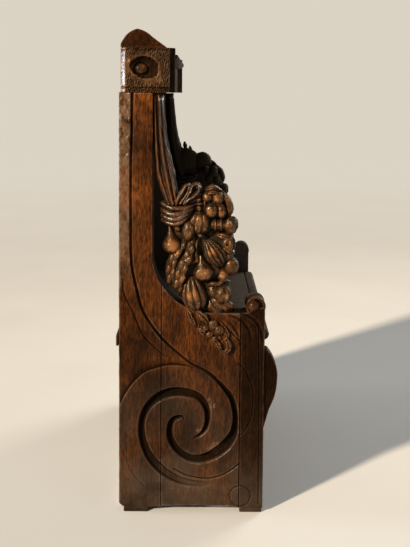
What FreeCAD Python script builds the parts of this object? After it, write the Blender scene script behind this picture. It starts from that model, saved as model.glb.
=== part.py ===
import FreeCAD, Part
import math
import os

import Sketcher
from FreeCAD import Placement, Rotation, Vector

# Carved oak choir stall for one sitter: two carved ends, a panelled back with a
# cornice, and a tip-up seat that turns on two pins.
#
# Frame: +Z up, the front of the stall towards -Y, the ends at -X (left) and +X
# (right), origin on the floor under the middle of the stall.  Depths inside the
# end are counted forward from its rear edge, so y = REAR - depth.

# ---------------------------------------------------------------------------
# Driving sizes, millimetres (angles in degrees)
# ---------------------------------------------------------------------------

SIZES = {
    # the two ends
    "overall_width": 850,
    "carving_proud": 15,
    "end_thick": 55,
    "back_plank_width": 105,
    "middle_plank_width": 195,
    "stile_width": 60,
    "post_width": 83,
    "foot_height": 12,
    "arm_height": 509,
    "sweep_radius": 147,
    "post_top": 1048,
    # scroll and sweep carved on the outer face
    "scroll_depth": 9,
    "scroll_groove_width": 19,
    "scroll_height": 220,
    "scroll_scale": 57,
    "sweep_groove_width": 7,
    "sweep_groove_inset": 31,
    # rolled volute on the stile
    "volute_radius": 25,
    "volute_rise": 17,
    "volute_eye_radius": 13,
    "volute_eye_proud": 8,
    # bellied console
    "console_reach": 33,
    "console_thick": 42,
    "console_low": 216,
    "console_top": 415,
    # feet
    "back_foot_length": 60,
    "back_foot_inset": 12,
    "front_foot_length": 56,
    "foot_side_inset": 4,
    # cornice
    "block_height": 107,
    "block_depth": 131,
    "block_rear_inset": 4,
    "block_chamfer": 12,
    "block_side_proud": 5,
    "patera_width": 78,
    "patera_height": 62,
    "patera_sink": 9,
    "crest_rise": 45,
    "crest_depth": 112,
    "crest_lip": 8,
    "frieze_thick": 26,
    "frieze_inset": 14,
    "moulding_height": 18,
    "moulding_proud": 20,
    "moulding_drop": 14,
    # back frame and panels
    "frame_thick": 30,
    "frame_rear_inset": 8,
    "back_stile_width": 60,
    "muntin_width": 50,
    "top_rail_height": 90,
    "seat_rail_height": 100,
    "seat_rail_low": 380,
    "bottom_rail_height": 80,
    "bottom_rail_low": 40,
    "tenon_length": 24,
    "tenon_thick": 10,
    "tenon_shoulder": 12,
    "panel_thick": 8,
    "panel_field_thick": 16,
    "panel_field_margin": 34,
    "panel_tongue": 10,
    "groove_clearance": 1,
    # batten, floor rail, dowels and pegs
    "batten_thick": 6.5,
    "batten_height": 28,
    "batten_low": 425,
    "floor_rail_height": 80,
    "floor_rail_thick": 26,
    "floor_rail_low": 22,
    "floor_rail_setback": 40,
    "dowel_radius": 6,
    "dowel_length": 50,
    "peg_radius": 5,
    "peg_bite": 26,
    "peg_proud": 0.8,
    # seat
    "seat_top": 455,
    "seat_thick": 28,
    "seat_overhang": 15,
    "seat_side_gap": 2,
    "seat_board_split": 212,
    "seat_groove_width": 4,
    "seat_groove_depth": 3,
    "seat_groove_inset": 28,
    "hinge_from_back": 30,
    "seat_behind_hinge": 24,
    "pin_radius": 8,
    "pin_in_end": 26,
    "pin_in_seat": 45,
    "pin_clearance": 0.05,
    "bearer_height": 36,
    "bearer_thick": 26,
    "bearer_length": 190,
    "bearer_front_inset": 52,
    "bearer_gap": 0.3,
    "cleat_width": 32,
    "cleat_height": 20,
    "cleat_length": 250,
    "cleat_inset": 102,
    "cleat_setback": 20,
    "ledge_width": 250,
    "ledge_thick": 24,
    "ledge_drop": 92,
    "ledge_inset": 34,
    "corbel_width": 96,
    "corbel_run": 130,
    # garland
    "stem_radius": 17,
    "stem_ahead": 18,
    "knot_radius": 40,
    "knot_ahead": 64,
    "knot_rise": 255,
    "knot_out": 6,
    "tail_start": 84,
    "tail_reach": 178,
    "tail_drop": 88,
    "tail_thick": 11,
}

OUTER = "(Size.overall_width / 2 - Size.carving_proud)"
INNER = "(%s - Size.end_thick)" % OUTER
END_DEPTH = "(Size.back_plank_width + Size.middle_plank_width + Size.stile_width)"
REAR = "((%s + Size.console_reach - Size.batten_thick) / 2)" % END_DEPTH
STILE_BACK = "(Size.back_plank_width + Size.middle_plank_width)"
SWEEP_DEPTH = "(Size.post_width + Size.sweep_radius)"
SWEEP_HEIGHT = "(Size.arm_height + Size.sweep_radius)"
BLOCK_TOP = "(Size.post_top + Size.block_height)"
FRAME_FRONT = "(Size.frame_rear_inset + Size.frame_thick)"
HINGE_DEPTH = "(%s + Size.hinge_from_back)" % FRAME_FRONT
HINGE_HEIGHT = "(Size.seat_top - Size.seat_thick / 2)"
SEAT_HALF = "(%s - Size.seat_side_gap)" % INNER
SEAT_UNDER = "(Size.seat_top - Size.seat_thick)"
SEAT_FRONT = "(%s + Size.seat_overhang)" % END_DEPTH
SEAT_REAR = "(%s - Size.seat_behind_hinge)" % HINGE_DEPTH

doc = FreeCAD.newDocument("choir_stall")
sheet = doc.addObject("Spreadsheet::Sheet", "Size")
for row, (name, number) in enumerate(SIZES.items(), start=1):
    sheet.set("A%d" % row, name)
    sheet.set("B%d" % row, str(number))
    sheet.setAlias("B%d" % row, name)
doc.recompute()

nodes = {}


# ---------------------------------------------------------------------------
# Helpers
# ---------------------------------------------------------------------------

def number(expression):
    """Value of an expression on the sheet."""
    return float(sheet.evalExpression(str(expression)))


def bind(obj, expressions):
    for path, expression in expressions.items():
        obj.setExpression(path, str(expression))
    return obj


def keep(name, obj):
    """Name a finished sub-part, which becomes one file."""
    obj.Label = name
    nodes[name] = obj
    return obj


def box(label, x, y, z, length, width, height):
    """Box from its low corner, all given as expressions."""
    return bind(doc.addObject("Part::Box", label), {
        "Length": length, "Width": width, "Height": height,
        "Placement.Base.x": x, "Placement.Base.y": y, "Placement.Base.z": z})


def span_box(label, half_width, rear_depth, front_depth, low, high):
    """Box centred on X between two depths and two heights."""
    return box(label, "-(%s)" % half_width, "%s - (%s)" % (REAR, front_depth), low,
               "2 * (%s)" % half_width, "(%s) - (%s)" % (front_depth, rear_depth),
               "(%s) - (%s)" % (high, low))


def rod(label, axis, x, y, z, radius, length):
    """Cylinder from a start point along one axis."""
    turns = {"x": Rotation(Vector(0, 1, 0), 90), "y": Rotation(Vector(1, 0, 0), -90),
             "z": Rotation()}
    obj = doc.addObject("Part::Cylinder", label)
    obj.Placement = Placement(Vector(), turns[axis])
    return bind(obj, {"Radius": radius, "Height": length, "Placement.Base.x": x,
                      "Placement.Base.y": y, "Placement.Base.z": z})


def egg(label, x, y, z, half_x, half_y, half_z):
    """Full ellipsoid at a centre."""
    obj = doc.addObject("Part::Ellipsoid", label)
    obj.Angle1 = -90
    return bind(obj, {"Radius1": half_z, "Radius2": half_x, "Radius3": half_y,
                      "Placement.Base.x": x, "Placement.Base.y": y, "Placement.Base.z": z})


def ring(label, x, y, z, radius, thickness, turn):
    obj = doc.addObject("Part::Torus", label)
    obj.Placement = Placement(Vector(), turn)
    return bind(obj, {"Radius1": radius, "Radius2": thickness, "Placement.Base.x": x,
                      "Placement.Base.y": y, "Placement.Base.z": z})


def fuse(label, parts):
    obj = doc.addObject("Part::MultiFuse", label)
    obj.Shapes = parts
    return obj


def group(label, parts):
    obj = doc.addObject("Part::Compound", label)
    obj.Links = parts
    return obj


def cut(label, base, tool):
    obj = doc.addObject("Part::Cut", label)
    obj.Base = base
    obj.Tool = tool
    return obj


def mirrored(name, source):
    """The right-hand twin of a left-hand sub-part."""
    obj = doc.addObject("Part::Mirroring", name)
    obj.Source = source
    obj.Normal = Vector(1, 0, 0)
    obj.Base = Vector(0, 0, 0)
    return obj


def pair(stem, left):
    """Keep a left-hand sub-part and its mirror image."""
    keep("left_" + stem, left)
    keep("right_" + stem, mirrored("right_" + stem, left))
    return left


def new_body(name, x, z="0"):
    """Body turned to face the front: its X runs to the left, its Y forward."""
    body = doc.addObject("PartDesign::Body", name)
    body.Placement = Placement(Vector(), Rotation(Vector(0, 0, 1), 180))
    return bind(body, {"Placement.Base.x": x, "Placement.Base.y": REAR,
                       "Placement.Base.z": z})


def new_sketch(body, plane, lift=None):
    """Sketch on one of the body's origin planes, lifted along its normal."""
    sketch = body.newObject("Sketcher::SketchObject", body.Name + "_sketch")
    face = [item for item in body.Origin.OriginFeatures if item.Role == plane][0]
    sketch.AttachmentSupport = [(face, "")]
    sketch.MapMode = "FlatFace"
    if lift is not None:
        sketch.setExpression("AttachmentOffset.Base.z", str(lift))
    return sketch


def fix_point(sketch, geometry, end, across, up):
    """Hold one point of a sketch at two expressions."""
    for kind, axis, expression in (("DistanceX", -2, across), ("DistanceY", -1, up)):
        if str(expression) == "0":
            sketch.addConstraint(Sketcher.Constraint("PointOnObject", geometry, end, axis))
            continue
        index = sketch.addConstraint(
            Sketcher.Constraint(kind, -1, 1, geometry, end, number(expression)))
        sketch.setExpression("Constraints[%d]" % index, str(expression))


def bulge_middle(start, end, radius, side):
    """Middle of the short arc from start to end that bulges to one side."""
    chord = end - start
    half = chord.Length / 2
    sagitta = radius - math.sqrt(max(radius * radius - half * half, 0))
    across = Vector(-chord.y, chord.x, 0).normalize()
    return (start + end) * 0.5 + across * (side * sagitta)


def outline(body, plane, corners, arcs=None, lift=None):
    """Closed outline through corner expressions; arcs = {edge: (radius, side)}."""
    arcs = arcs or {}
    sketch = new_sketch(body, plane, lift)
    points = [Vector(number(across), number(up), 0) for across, up in corners]
    count = len(points)
    ends = []
    for edge in range(count):
        start, end = points[edge], points[(edge + 1) % count]
        if edge in arcs:
            radius, side = arcs[edge]
            middle = bulge_middle(start, end, number(radius), side)
            geometry = sketch.addGeometry(Part.Arc(start, middle, end), False)
            index = sketch.addConstraint(
                Sketcher.Constraint("Radius", geometry, number(radius)))
            sketch.setExpression("Constraints[%d]" % index, str(radius))
        else:
            geometry = sketch.addGeometry(Part.LineSegment(start, end), False)
        first = 1 if sketch.getPoint(geometry, 1).distanceToPoint(start) < 1e-3 else 2
        ends.append((geometry, first, 3 - first))
    for edge in range(count):
        geometry, first, last = ends[edge]
        following, its_first, _ = ends[(edge + 1) % count]
        fix_point(sketch, geometry, first, *corners[edge])
        sketch.addConstraint(
            Sketcher.Constraint("Coincident", geometry, last, following, its_first))
    return sketch


def circle(body, plane, across, up, radius, lift=None):
    sketch = new_sketch(body, plane, lift)
    centre = Vector(number(across), number(up), 0)
    geometry = sketch.addGeometry(Part.Circle(centre, Vector(0, 0, 1), number(radius)), False)
    fix_point(sketch, geometry, 3, across, up)
    index = sketch.addConstraint(Sketcher.Constraint("Radius", geometry, number(radius)))
    sketch.setExpression("Constraints[%d]" % index, str(radius))
    return sketch


def pad(body, sketch, length):
    feature = body.newObject("PartDesign::Pad", body.Name + "_pad")
    feature.Profile = sketch
    feature.setExpression("Length", str(length))
    sketch.Visibility = False
    body.Tip = feature
    doc.recompute()
    return feature


def pocket(body, sketch, depth, reverse=False):
    """Pocket that must remove material."""
    before = body.Shape.Volume
    feature = body.newObject("PartDesign::Pocket", body.Name + "_pocket")
    feature.Profile = sketch
    feature.Reversed = reverse
    feature.setExpression("Length", str(depth))
    sketch.Visibility = False
    body.Tip = feature
    doc.recompute()
    if not body.Shape.Volume < before:
        raise RuntimeError("%s cuts nothing" % feature.Name)
    return feature


def groove_sketch(body, start, heading, runs, width, lift):
    """Outline of a carved groove along straight and curved runs.

    Each run is ("line", length) or ("arc", radius, turn), the turn in degrees,
    positive to the left.  Both walls keep the run's centre, so they stay parallel.
    """
    half = width / 2
    sides = {1: [], -1: []}
    point = Vector(start[0], start[1], 0)
    angle = math.radians(heading)

    def wall(place, direction, side):
        return place + Vector(-math.sin(direction), math.cos(direction), 0) * (side * half)

    for run in runs:
        if run[0] == "line":
            stop = point + Vector(math.cos(angle), math.sin(angle), 0) * run[1]
            turned = angle
            for side in sides:
                sides[side].append(("line", wall(point, angle, side), wall(stop, turned, side)))
        else:
            turn = math.radians(run[2])
            side_of_turn = math.copysign(1, turn)
            normal = Vector(-math.sin(angle), math.cos(angle), 0)
            centre = point + normal * (run[1] * side_of_turn)

            def along(place, part):
                swing = Rotation(Vector(0, 0, 1), math.degrees(turn * part))
                return centre + swing.multVec(place - centre)

            stop = along(point, 1)
            turned = angle + turn
            for side in sides:
                first = wall(point, angle, side)
                sides[side].append(("arc", first, along(first, 0.5), along(first, 1)))
        point, angle = stop, turned
    sketch = new_sketch(body, "YZ_Plane", lift)
    left, right = sides[1], sides[-1]
    for run in left + right:
        curve = Part.LineSegment(run[1], run[2]) if run[0] == "line" else Part.Arc(*run[1:])
        sketch.addGeometry(curve, False)
    sketch.addGeometry(Part.LineSegment(left[0][1], right[0][1]), False)
    sketch.addGeometry(Part.LineSegment(left[-1][-1], right[-1][-1]), False)
    return sketch


# ---------------------------------------------------------------------------
# The ends: three planks, side by side
# ---------------------------------------------------------------------------

def scroll_grooves():
    """Start, heading and runs of the two grooves of the big double scroll."""
    scale = number("Size.scroll_scale")
    middle = number("Size.back_plank_width + Size.middle_plank_width * 0.36")
    height = number("Size.scroll_height")
    outer_ratio = 1.16
    inner_ratio = 0.798
    rising = [("arc", scale * 1.045 * outer_ratio ** step, 45) for step in range(8)]
    falling = [("arc", scale * 2.5 * inner_ratio ** step, -45) for step in range(7)]
    return [((middle + scale * 0.40, height - scale * 0.24), 43.6, rising),
            ((middle + scale * 0.60, height + scale * 2.48), -25.8, falling)]


def sweep_groove():
    """The groove down the post that swings forward into the scroll."""
    inset = number("Size.sweep_groove_inset")
    radius = number("Size.sweep_radius")
    top = number("Size.post_top - 8")
    bend = number(SWEEP_HEIGHT) - 10
    return ((inset, top), -90,
            [("line", top - bend), ("arc", radius * 2.2, 38), ("arc", radius * 1.9, 22),
             ("arc", radius * 0.9, -20)])


def carve(body, grooves):
    """Cut the given grooves into a plank's outer face."""
    for groove, width, depth in grooves:
        start, heading, runs = groove
        sketch = groove_sketch(body, start, heading, runs, number(width), "Size.end_thick")
        pocket(body, sketch, depth)


ARC_AT_JOINT = ("(%s - sqrt(pow(Size.sweep_radius; 2) - pow(%s - Size.back_plank_width; 2)))"
                % (SWEEP_HEIGHT, SWEEP_DEPTH))


outer_scroll, inner_scroll = [
    (groove, "Size.scroll_groove_width", "Size.scroll_depth") for groove in scroll_grooves()]
sweep = (sweep_groove(), "Size.sweep_groove_width", "Size.scroll_depth * 0.7")


def back_plank():
    body = new_body("back_plank_blank", "-" + INNER)
    sketch = outline(body, "YZ_Plane", [
        ("0", "Size.foot_height"), ("Size.back_plank_width", "Size.foot_height"),
        ("Size.back_plank_width", ARC_AT_JOINT), ("Size.post_width", SWEEP_HEIGHT),
        ("Size.post_width", "Size.post_top"), ("0", "Size.post_top")],
        arcs={2: ("Size.sweep_radius", 1)})
    pad(body, sketch, "Size.end_thick")
    carve(body, [outer_scroll, sweep])
    bore = circle(body, "YZ_Plane", HINGE_DEPTH, HINGE_HEIGHT,
                  "Size.pin_radius + Size.pin_clearance")
    pocket(body, bore, "Size.pin_in_end + Size.groove_clearance", reverse=True)
    return body


def middle_plank():
    body = new_body("middle_plank_blank", "-" + INNER)
    sketch = outline(body, "YZ_Plane", [
        ("Size.back_plank_width", "Size.foot_height"), (STILE_BACK, "Size.foot_height"),
        (STILE_BACK, "Size.arm_height"), (SWEEP_DEPTH, "Size.arm_height"),
        ("Size.back_plank_width", ARC_AT_JOINT)],
        arcs={3: ("Size.sweep_radius", 1)})
    pad(body, sketch, "Size.end_thick")
    carve(body, [outer_scroll, inner_scroll, sweep])
    return body


def front_stile():
    body = new_body("front_stile_blank", "-" + INNER)
    roll_depth = "(%s - Size.volute_radius * 0.9)" % END_DEPTH
    roll_height = "(Size.arm_height + Size.volute_rise)"
    chin = "(%s - Size.volute_radius * 0.4359)" % roll_height
    nape_depth = "(%s - Size.volute_radius * 0.866)" % roll_depth
    nape_height = "(%s - Size.volute_radius * 0.5)" % roll_height
    sketch = outline(body, "YZ_Plane", [
        (STILE_BACK, "Size.foot_height"), (END_DEPTH, "Size.foot_height"), (END_DEPTH, chin),
        (roll_depth, "%s + Size.volute_radius" % roll_height), (nape_depth, nape_height),
        (STILE_BACK, "Size.arm_height")],
        arcs={2: ("Size.volute_radius", -1), 3: ("Size.volute_radius", -1)})
    pad(body, sketch, "Size.end_thick")
    eye = circle(body, "YZ_Plane", roll_depth, roll_height, "Size.volute_eye_radius",
                 lift="Size.end_thick")
    pad(body, eye, "Size.volute_eye_proud")
    return body


def floor_rail_depths():
    front = "(%s - Size.floor_rail_setback - Size.stile_width)" % END_DEPTH
    return "(%s - Size.floor_rail_thick)" % front, front


def dowel_row(suffix, extra_radius, extra_length):
    """Two dowels in each of the end's two edge joints."""
    rods = []
    for joint, depth in (("rear", "Size.back_plank_width"), ("front", STILE_BACK)):
        for place, share in (("low", 0.12), ("high", 0.86)):
            length = "(Size.dowel_length + 2 * %s)" % extra_length
            rods.append(rod(
                "dowel_%s_%s_%s" % (joint, place, suffix), "y",
                "-(%s + Size.end_thick * 0.42)" % INNER,
                "%s - %s - %s / 2" % (REAR, depth, length),
                "Size.foot_height + (Size.arm_height - Size.foot_height) * %s" % share,
                "Size.dowel_radius + %s" % extra_radius, length))
    return group("dowels_" + suffix, rods)


PEG_HEIGHTS = ("Size.bottom_rail_low + Size.bottom_rail_height / 2",
               "Size.seat_rail_low + Size.seat_rail_height * 0.78",
               "Size.post_top - 70")


def peg_row(suffix, proud):
    """Pegs driven through the end into the back frame's stile."""
    rods = [rod("peg_%s_%d" % (suffix, index), "x", "-(%s + %s)" % (OUTER, proud),
                "%s - %s + Size.frame_thick / 2" % (REAR, FRAME_FRONT), height, "Size.peg_radius",
                "Size.end_thick + Size.peg_bite + %s" % proud)
            for index, height in enumerate(PEG_HEIGHTS)]
    return group("pegs_" + suffix, rods)


dowel_holes = dowel_row("holes", "0.02", "1")
peg_holes = peg_row("holes", "4")
rail_rear, rail_front = floor_rail_depths()
floor_mortise = span_box(
    "floor_mortise", "(%s + Size.tenon_length + Size.groove_clearance)" % INNER,
    "%s + Size.tenon_shoulder / 2" % rail_rear, "%s - Size.tenon_shoulder / 2" % rail_front,
    "Size.floor_rail_low + Size.tenon_shoulder", "Size.floor_rail_low + Size.floor_rail_height"
    " - Size.tenon_shoulder")

pair("back_plank", cut("left_back_plank", back_plank(),
                       group("back_plank_holes", [dowel_holes, peg_holes])))
left_middle_plank = pair("middle_plank", cut("left_middle_plank", middle_plank(),
                                             group("middle_plank_holes",
                                                   [dowel_holes, floor_mortise])))
pair("front_stile", cut("left_front_stile", front_stile(), dowel_holes))
pair("plank_dowels", dowel_row("set", "0", "0"))
pair("frame_pegs", peg_row("set", "Size.peg_proud"))


def console():
    """Bellied board on the stile's front edge."""
    body = new_body("left_console", "-(%s + (Size.end_thick - Size.console_thick) / 2)" % INNER)
    belly = "(Size.console_low + (Size.console_top - Size.console_low) * 0.62)"
    reach = "(%s + Size.console_reach)" % END_DEPTH
    sketch = outline(body, "YZ_Plane", [
        (END_DEPTH, "Size.console_low"),
        ("%s + Size.console_reach * 0.42" % END_DEPTH,
         "Size.console_low + (Size.console_top - Size.console_low) * 0.25"),
        (reach, belly), ("%s + 8" % END_DEPTH, "Size.console_top"), (END_DEPTH, "Size.console_top")],
        arcs={1: ("(Size.console_top - Size.console_low) * 0.8", -1),
              2: ("(Size.console_top - Size.console_low) * 0.5", -1)})
    pad(body, sketch, "Size.console_thick")
    return body


pair("console", console())


def foot(label, rear_depth, length):
    return box(label, "-(%s - Size.foot_side_inset)" % OUTER,
               "%s - (%s) - (%s)" % (REAR, rear_depth, length), "0",
               "Size.end_thick - 2 * Size.foot_side_inset", length, "Size.foot_height")


pair("back_foot", foot("left_back_foot", "Size.back_foot_inset", "Size.back_foot_length"))
pair("front_foot", foot("left_front_foot", "%s + (Size.stile_width - Size.front_foot_length) / 2"
                        % STILE_BACK, "Size.front_foot_length"))


# ---------------------------------------------------------------------------
# Cornice: blocks, crest rail, frieze and moulding
# ---------------------------------------------------------------------------

PATERA_DEPTH = "(Size.block_rear_inset + Size.block_depth * 0.46)"
PATERA_RISE = "(Size.block_height * 0.56)"


def cornice_block():
    outer = "(Size.end_thick + Size.block_side_proud)"
    rear = "Size.block_rear_inset"
    front = "(Size.block_rear_inset + Size.block_depth)"
    body = new_body("block_blank", "-" + INNER, "Size.post_top")
    sketch = outline(body, "XY_Plane", [
        ("0", rear), (outer + " - Size.block_chamfer", rear), (outer, rear + " + Size.block_chamfer"),
        (outer, front + " - Size.block_chamfer"), (outer + " - Size.block_chamfer", front),
        ("0", front)])
    pad(body, sketch, "Size.block_height")
    sketch = outline(body, "YZ_Plane", [
        ("%s - Size.patera_width / 2" % PATERA_DEPTH, PATERA_RISE),
        (PATERA_DEPTH, "%s - Size.patera_height / 2" % PATERA_RISE),
        ("%s + Size.patera_width / 2" % PATERA_DEPTH, PATERA_RISE),
        (PATERA_DEPTH, "%s + Size.patera_height / 2" % PATERA_RISE)],
        arcs={edge: ("Size.patera_width * 0.47", -1) for edge in range(4)}, lift=outer)
    pocket(body, sketch, "Size.patera_sink")
    return body


boss = egg("patera_boss", "-(%s + Size.block_side_proud - Size.patera_sink)" % OUTER,
           "%s - %s + Size.patera_width * 0.12" % (REAR, PATERA_DEPTH),
           "Size.post_top + %s - 3" % PATERA_RISE,
           "Size.patera_sink * 0.8", "Size.patera_width * 0.17", "Size.patera_height * 0.2")
pair("cornice_block", fuse("left_cornice_block", [cornice_block(), boss]))


def crest_rail():
    body = new_body("crest_rail", OUTER, BLOCK_TOP)
    rear = "(Size.block_rear_inset + 1)"
    front = "(%s + Size.crest_depth)" % rear
    top_depth = "(%s + Size.crest_depth * 0.36)" % rear
    shoulder = "(%s + Size.crest_depth * 0.68)" % rear
    sketch = outline(body, "YZ_Plane", [
        (rear, "0"), (front, "0"), (shoulder, "Size.crest_rise * 0.58"),
        (top_depth, "Size.crest_rise"), (rear, "Size.crest_lip")],
        arcs={2: ("Size.crest_rise * 1.5", -1), 3: ("Size.crest_rise * 1.25", -1)})
    pad(body, sketch, "2 * %s" % OUTER)
    return body


keep("crest_rail", crest_rail())

FRIEZE_FRONT = "(Size.block_rear_inset + Size.block_depth - Size.frieze_inset)"
keep("cornice_frieze", span_box(
    "cornice_frieze", INNER, "%s - Size.frieze_thick" % FRIEZE_FRONT, FRIEZE_FRONT,
    "Size.post_top", BLOCK_TOP))


def cornice_moulding():
    """Ovolo and fillet that runs between the blocks."""
    body = new_body("cornice_moulding", INNER,
                    "%s - Size.moulding_drop - Size.moulding_height" % BLOCK_TOP)
    front = "(%s + Size.moulding_proud)" % FRIEZE_FRONT
    sketch = outline(body, "YZ_Plane", [
        (FRIEZE_FRONT, "0"), ("%s + Size.moulding_proud * 0.2" % FRIEZE_FRONT, "0"),
        (front, "Size.moulding_height * 0.7"), (front, "Size.moulding_height"),
        (FRIEZE_FRONT, "Size.moulding_height")],
        arcs={1: ("Size.moulding_proud", -1)})
    pad(body, sketch, "2 * %s" % INNER)
    return body


keep("cornice_moulding", cornice_moulding())


# ---------------------------------------------------------------------------
# Back: framed and panelled, batten behind
# ---------------------------------------------------------------------------

OPEN_HALF = "(%s - Size.back_stile_width)" % INNER
TOP_RAIL_LOW = "(%s - Size.top_rail_height)" % BLOCK_TOP
SEAT_RAIL_HIGH = "(Size.seat_rail_low + Size.seat_rail_height)"
BOTTOM_RAIL_HIGH = "(Size.bottom_rail_low + Size.bottom_rail_height)"
FRAME_MIDDLE = "(Size.frame_rear_inset + Size.frame_thick / 2)"
PANEL_FIELDS = {"upper": (SEAT_RAIL_HIGH, TOP_RAIL_LOW),
                "lower": (BOTTOM_RAIL_HIGH, "Size.seat_rail_low")}


def panel_plate(label, level, reach, thickness, side):
    """Plate over one panel opening, grown by reach on every edge."""
    low, high = PANEL_FIELDS[level]
    left_edge = "-(%s + %s)" % (OPEN_HALF, reach) if side < 0 else (
        "(Size.muntin_width / 2 - (%s))" % reach)
    length = "%s - Size.muntin_width / 2 + 2 * (%s)" % (OPEN_HALF, reach)
    return box(label, left_edge, "%s - %s - (%s) / 2" % (REAR, FRAME_MIDDLE, thickness),
               "%s - (%s)" % (low, reach), length, thickness,
               "%s - %s + 2 * (%s)" % (high, low, reach))


panel_spaces = []
for level in PANEL_FIELDS:
    for side, side_name in ((-1, "left"), (1, "right")):
        stem = "%s_panel_%s" % (level, side_name)
        plate = panel_plate(stem + "_plate", level, "Size.panel_tongue", "Size.panel_thick", side)
        field = panel_plate(stem + "_field", level, "-Size.panel_field_margin",
                            "Size.panel_field_thick", side)
        keep("back_" + stem, fuse("back_" + stem, [plate, field]))
        panel_spaces.append(panel_plate(
            stem + "_space", level, "Size.panel_tongue + Size.groove_clearance",
            "Size.panel_thick + 0.3", side))
grooves = group("panel_grooves", panel_spaces)

TENON_REAR = "(%s - Size.tenon_thick / 2)" % FRAME_MIDDLE
TENON_FRONT = "(%s + Size.tenon_thick / 2)" % FRAME_MIDDLE


def rail(name, low, high):
    """Rail between the back's stiles with a tenon at each end."""
    bar = span_box(name + "_bar", OPEN_HALF, "Size.frame_rear_inset", FRAME_FRONT, low, high)
    tenon = span_box(name + "_tenon", "%s + Size.tenon_length" % OPEN_HALF, TENON_REAR, TENON_FRONT,
                     "%s + Size.tenon_shoulder" % low, "%s - Size.tenon_shoulder" % high)
    return fuse(name + "_blank", [bar, tenon])


def tenon_space(name, low, high):
    return span_box(name + "_mortise", "%s + Size.tenon_length + Size.groove_clearance" % OPEN_HALF,
                    TENON_REAR, TENON_FRONT, "%s + Size.tenon_shoulder" % low,
                    "%s - Size.tenon_shoulder" % high)


def muntin(name, low, high, extra="0"):
    """Upright between two rails, with a tenon at the top and the bottom."""
    reach = "(Size.tenon_length + %s)" % extra
    return span_box(name, "(Size.muntin_width / 2 - Size.tenon_shoulder)", TENON_REAR, TENON_FRONT,
                    "%s - %s" % (low, reach), "%s + %s" % (high, reach))


RAILS = {"back_top_rail": (TOP_RAIL_LOW, BLOCK_TOP),
         "back_seat_rail": ("Size.seat_rail_low", SEAT_RAIL_HIGH),
         "back_bottom_rail": ("Size.bottom_rail_low", BOTTOM_RAIL_HIGH)}
muntin_mortises = group("muntin_mortises", [
    muntin(level + "_muntin_mortise", low, high, "Size.groove_clearance")
    for level, (low, high) in PANEL_FIELDS.items()])
for name, (low, high) in RAILS.items():
    tools = group(name + "_cuts", [grooves, muntin_mortises])
    keep(name, cut(name, rail(name, low, high), tools))
for level, (low, high) in PANEL_FIELDS.items():
    bar = span_box(level + "_muntin_bar", "(Size.muntin_width / 2)", "Size.frame_rear_inset",
                   FRAME_FRONT, low, high)
    tongue = muntin(level + "_muntin_tenon", low, high)
    blank = fuse(level + "_muntin_blank", [bar, tongue])
    name = "back_%s_muntin" % level
    keep(name, cut(name, blank, grooves))

stile_bar = box("back_stile_bar", "-" + INNER, "%s - %s" % (REAR, FRAME_FRONT),
                "Size.bottom_rail_low", "Size.back_stile_width", "Size.frame_thick",
                "%s - Size.bottom_rail_low" % BLOCK_TOP)
stile_cuts = group("back_stile_cuts", [grooves, peg_holes] + [
    tenon_space(name, low, high) for name, (low, high) in RAILS.items()])
pair("back_stile", cut("left_back_stile", stile_bar, stile_cuts))

keep("back_batten", span_box("back_batten", OUTER, "-Size.batten_thick", "0", "Size.batten_low",
                             "Size.batten_low + Size.batten_height"))


# ---------------------------------------------------------------------------
# Floor rail, tenoned into both ends
# ---------------------------------------------------------------------------

floor_bar = span_box("floor_rail_bar", INNER, rail_rear, rail_front, "Size.floor_rail_low",
                     "Size.floor_rail_low + Size.floor_rail_height")
floor_tenon = span_box(
    "floor_rail_tenon", "%s + Size.tenon_length" % INNER, "%s + Size.tenon_shoulder / 2" % rail_rear,
    "%s - Size.tenon_shoulder / 2" % rail_front, "Size.floor_rail_low + Size.tenon_shoulder",
    "Size.floor_rail_low + Size.floor_rail_height - Size.tenon_shoulder")
keep("floor_rail", fuse("floor_rail", [floor_bar, floor_tenon]))


# ---------------------------------------------------------------------------
# Seat: two boards on cleats, misericord below, turning on two pins
# ---------------------------------------------------------------------------

def pin(label, extra_radius, extra_length):
    """Pivot pin at the left, from the end's bore into the seat's edge."""
    return rod(label, "x", "-(%s + Size.pin_in_end)" % INNER, "%s - %s" % (REAR, HINGE_DEPTH),
               HINGE_HEIGHT, "Size.pin_radius + %s" % extra_radius,
               "Size.pin_in_end + Size.seat_side_gap + Size.pin_in_seat + %s" % extra_length)


pair("pivot_pin", pin("left_pivot_pin", "0", "0"))
pin_bore = pin("left_pin_bore", "0.02", "Size.groove_clearance")
pin_bores = group("pin_bores", [pin_bore, mirrored("right_pin_bore", pin_bore)])

rear_board = span_box("seat_rear_blank", SEAT_HALF, SEAT_REAR, "Size.seat_board_split",
                      SEAT_UNDER, "Size.seat_top")
keep("seat_rear_board", cut("seat_rear_board", rear_board, pin_bores))


def seat_front_board():
    body = new_body("seat_front_board", SEAT_HALF)
    nose = "(%s - Size.seat_thick * 0.4)" % SEAT_FRONT
    groove_far = "(%s - Size.seat_groove_inset)" % SEAT_FRONT
    sketch = outline(body, "YZ_Plane", [
        ("Size.seat_board_split", SEAT_UNDER), (nose, SEAT_UNDER), (nose, "Size.seat_top"),
        (groove_far, "Size.seat_top"), (groove_far, "Size.seat_top - Size.seat_groove_depth"),
        ("%s - Size.seat_groove_width" % groove_far, "Size.seat_top - Size.seat_groove_depth"),
        ("%s - Size.seat_groove_width" % groove_far, "Size.seat_top"),
        ("Size.seat_board_split", "Size.seat_top")],
        arcs={1: ("Size.seat_thick * 0.5125", -1)})
    pad(body, sketch, "2 * %s" % SEAT_HALF)
    return body


keep("seat_front_board", seat_front_board())

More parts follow.
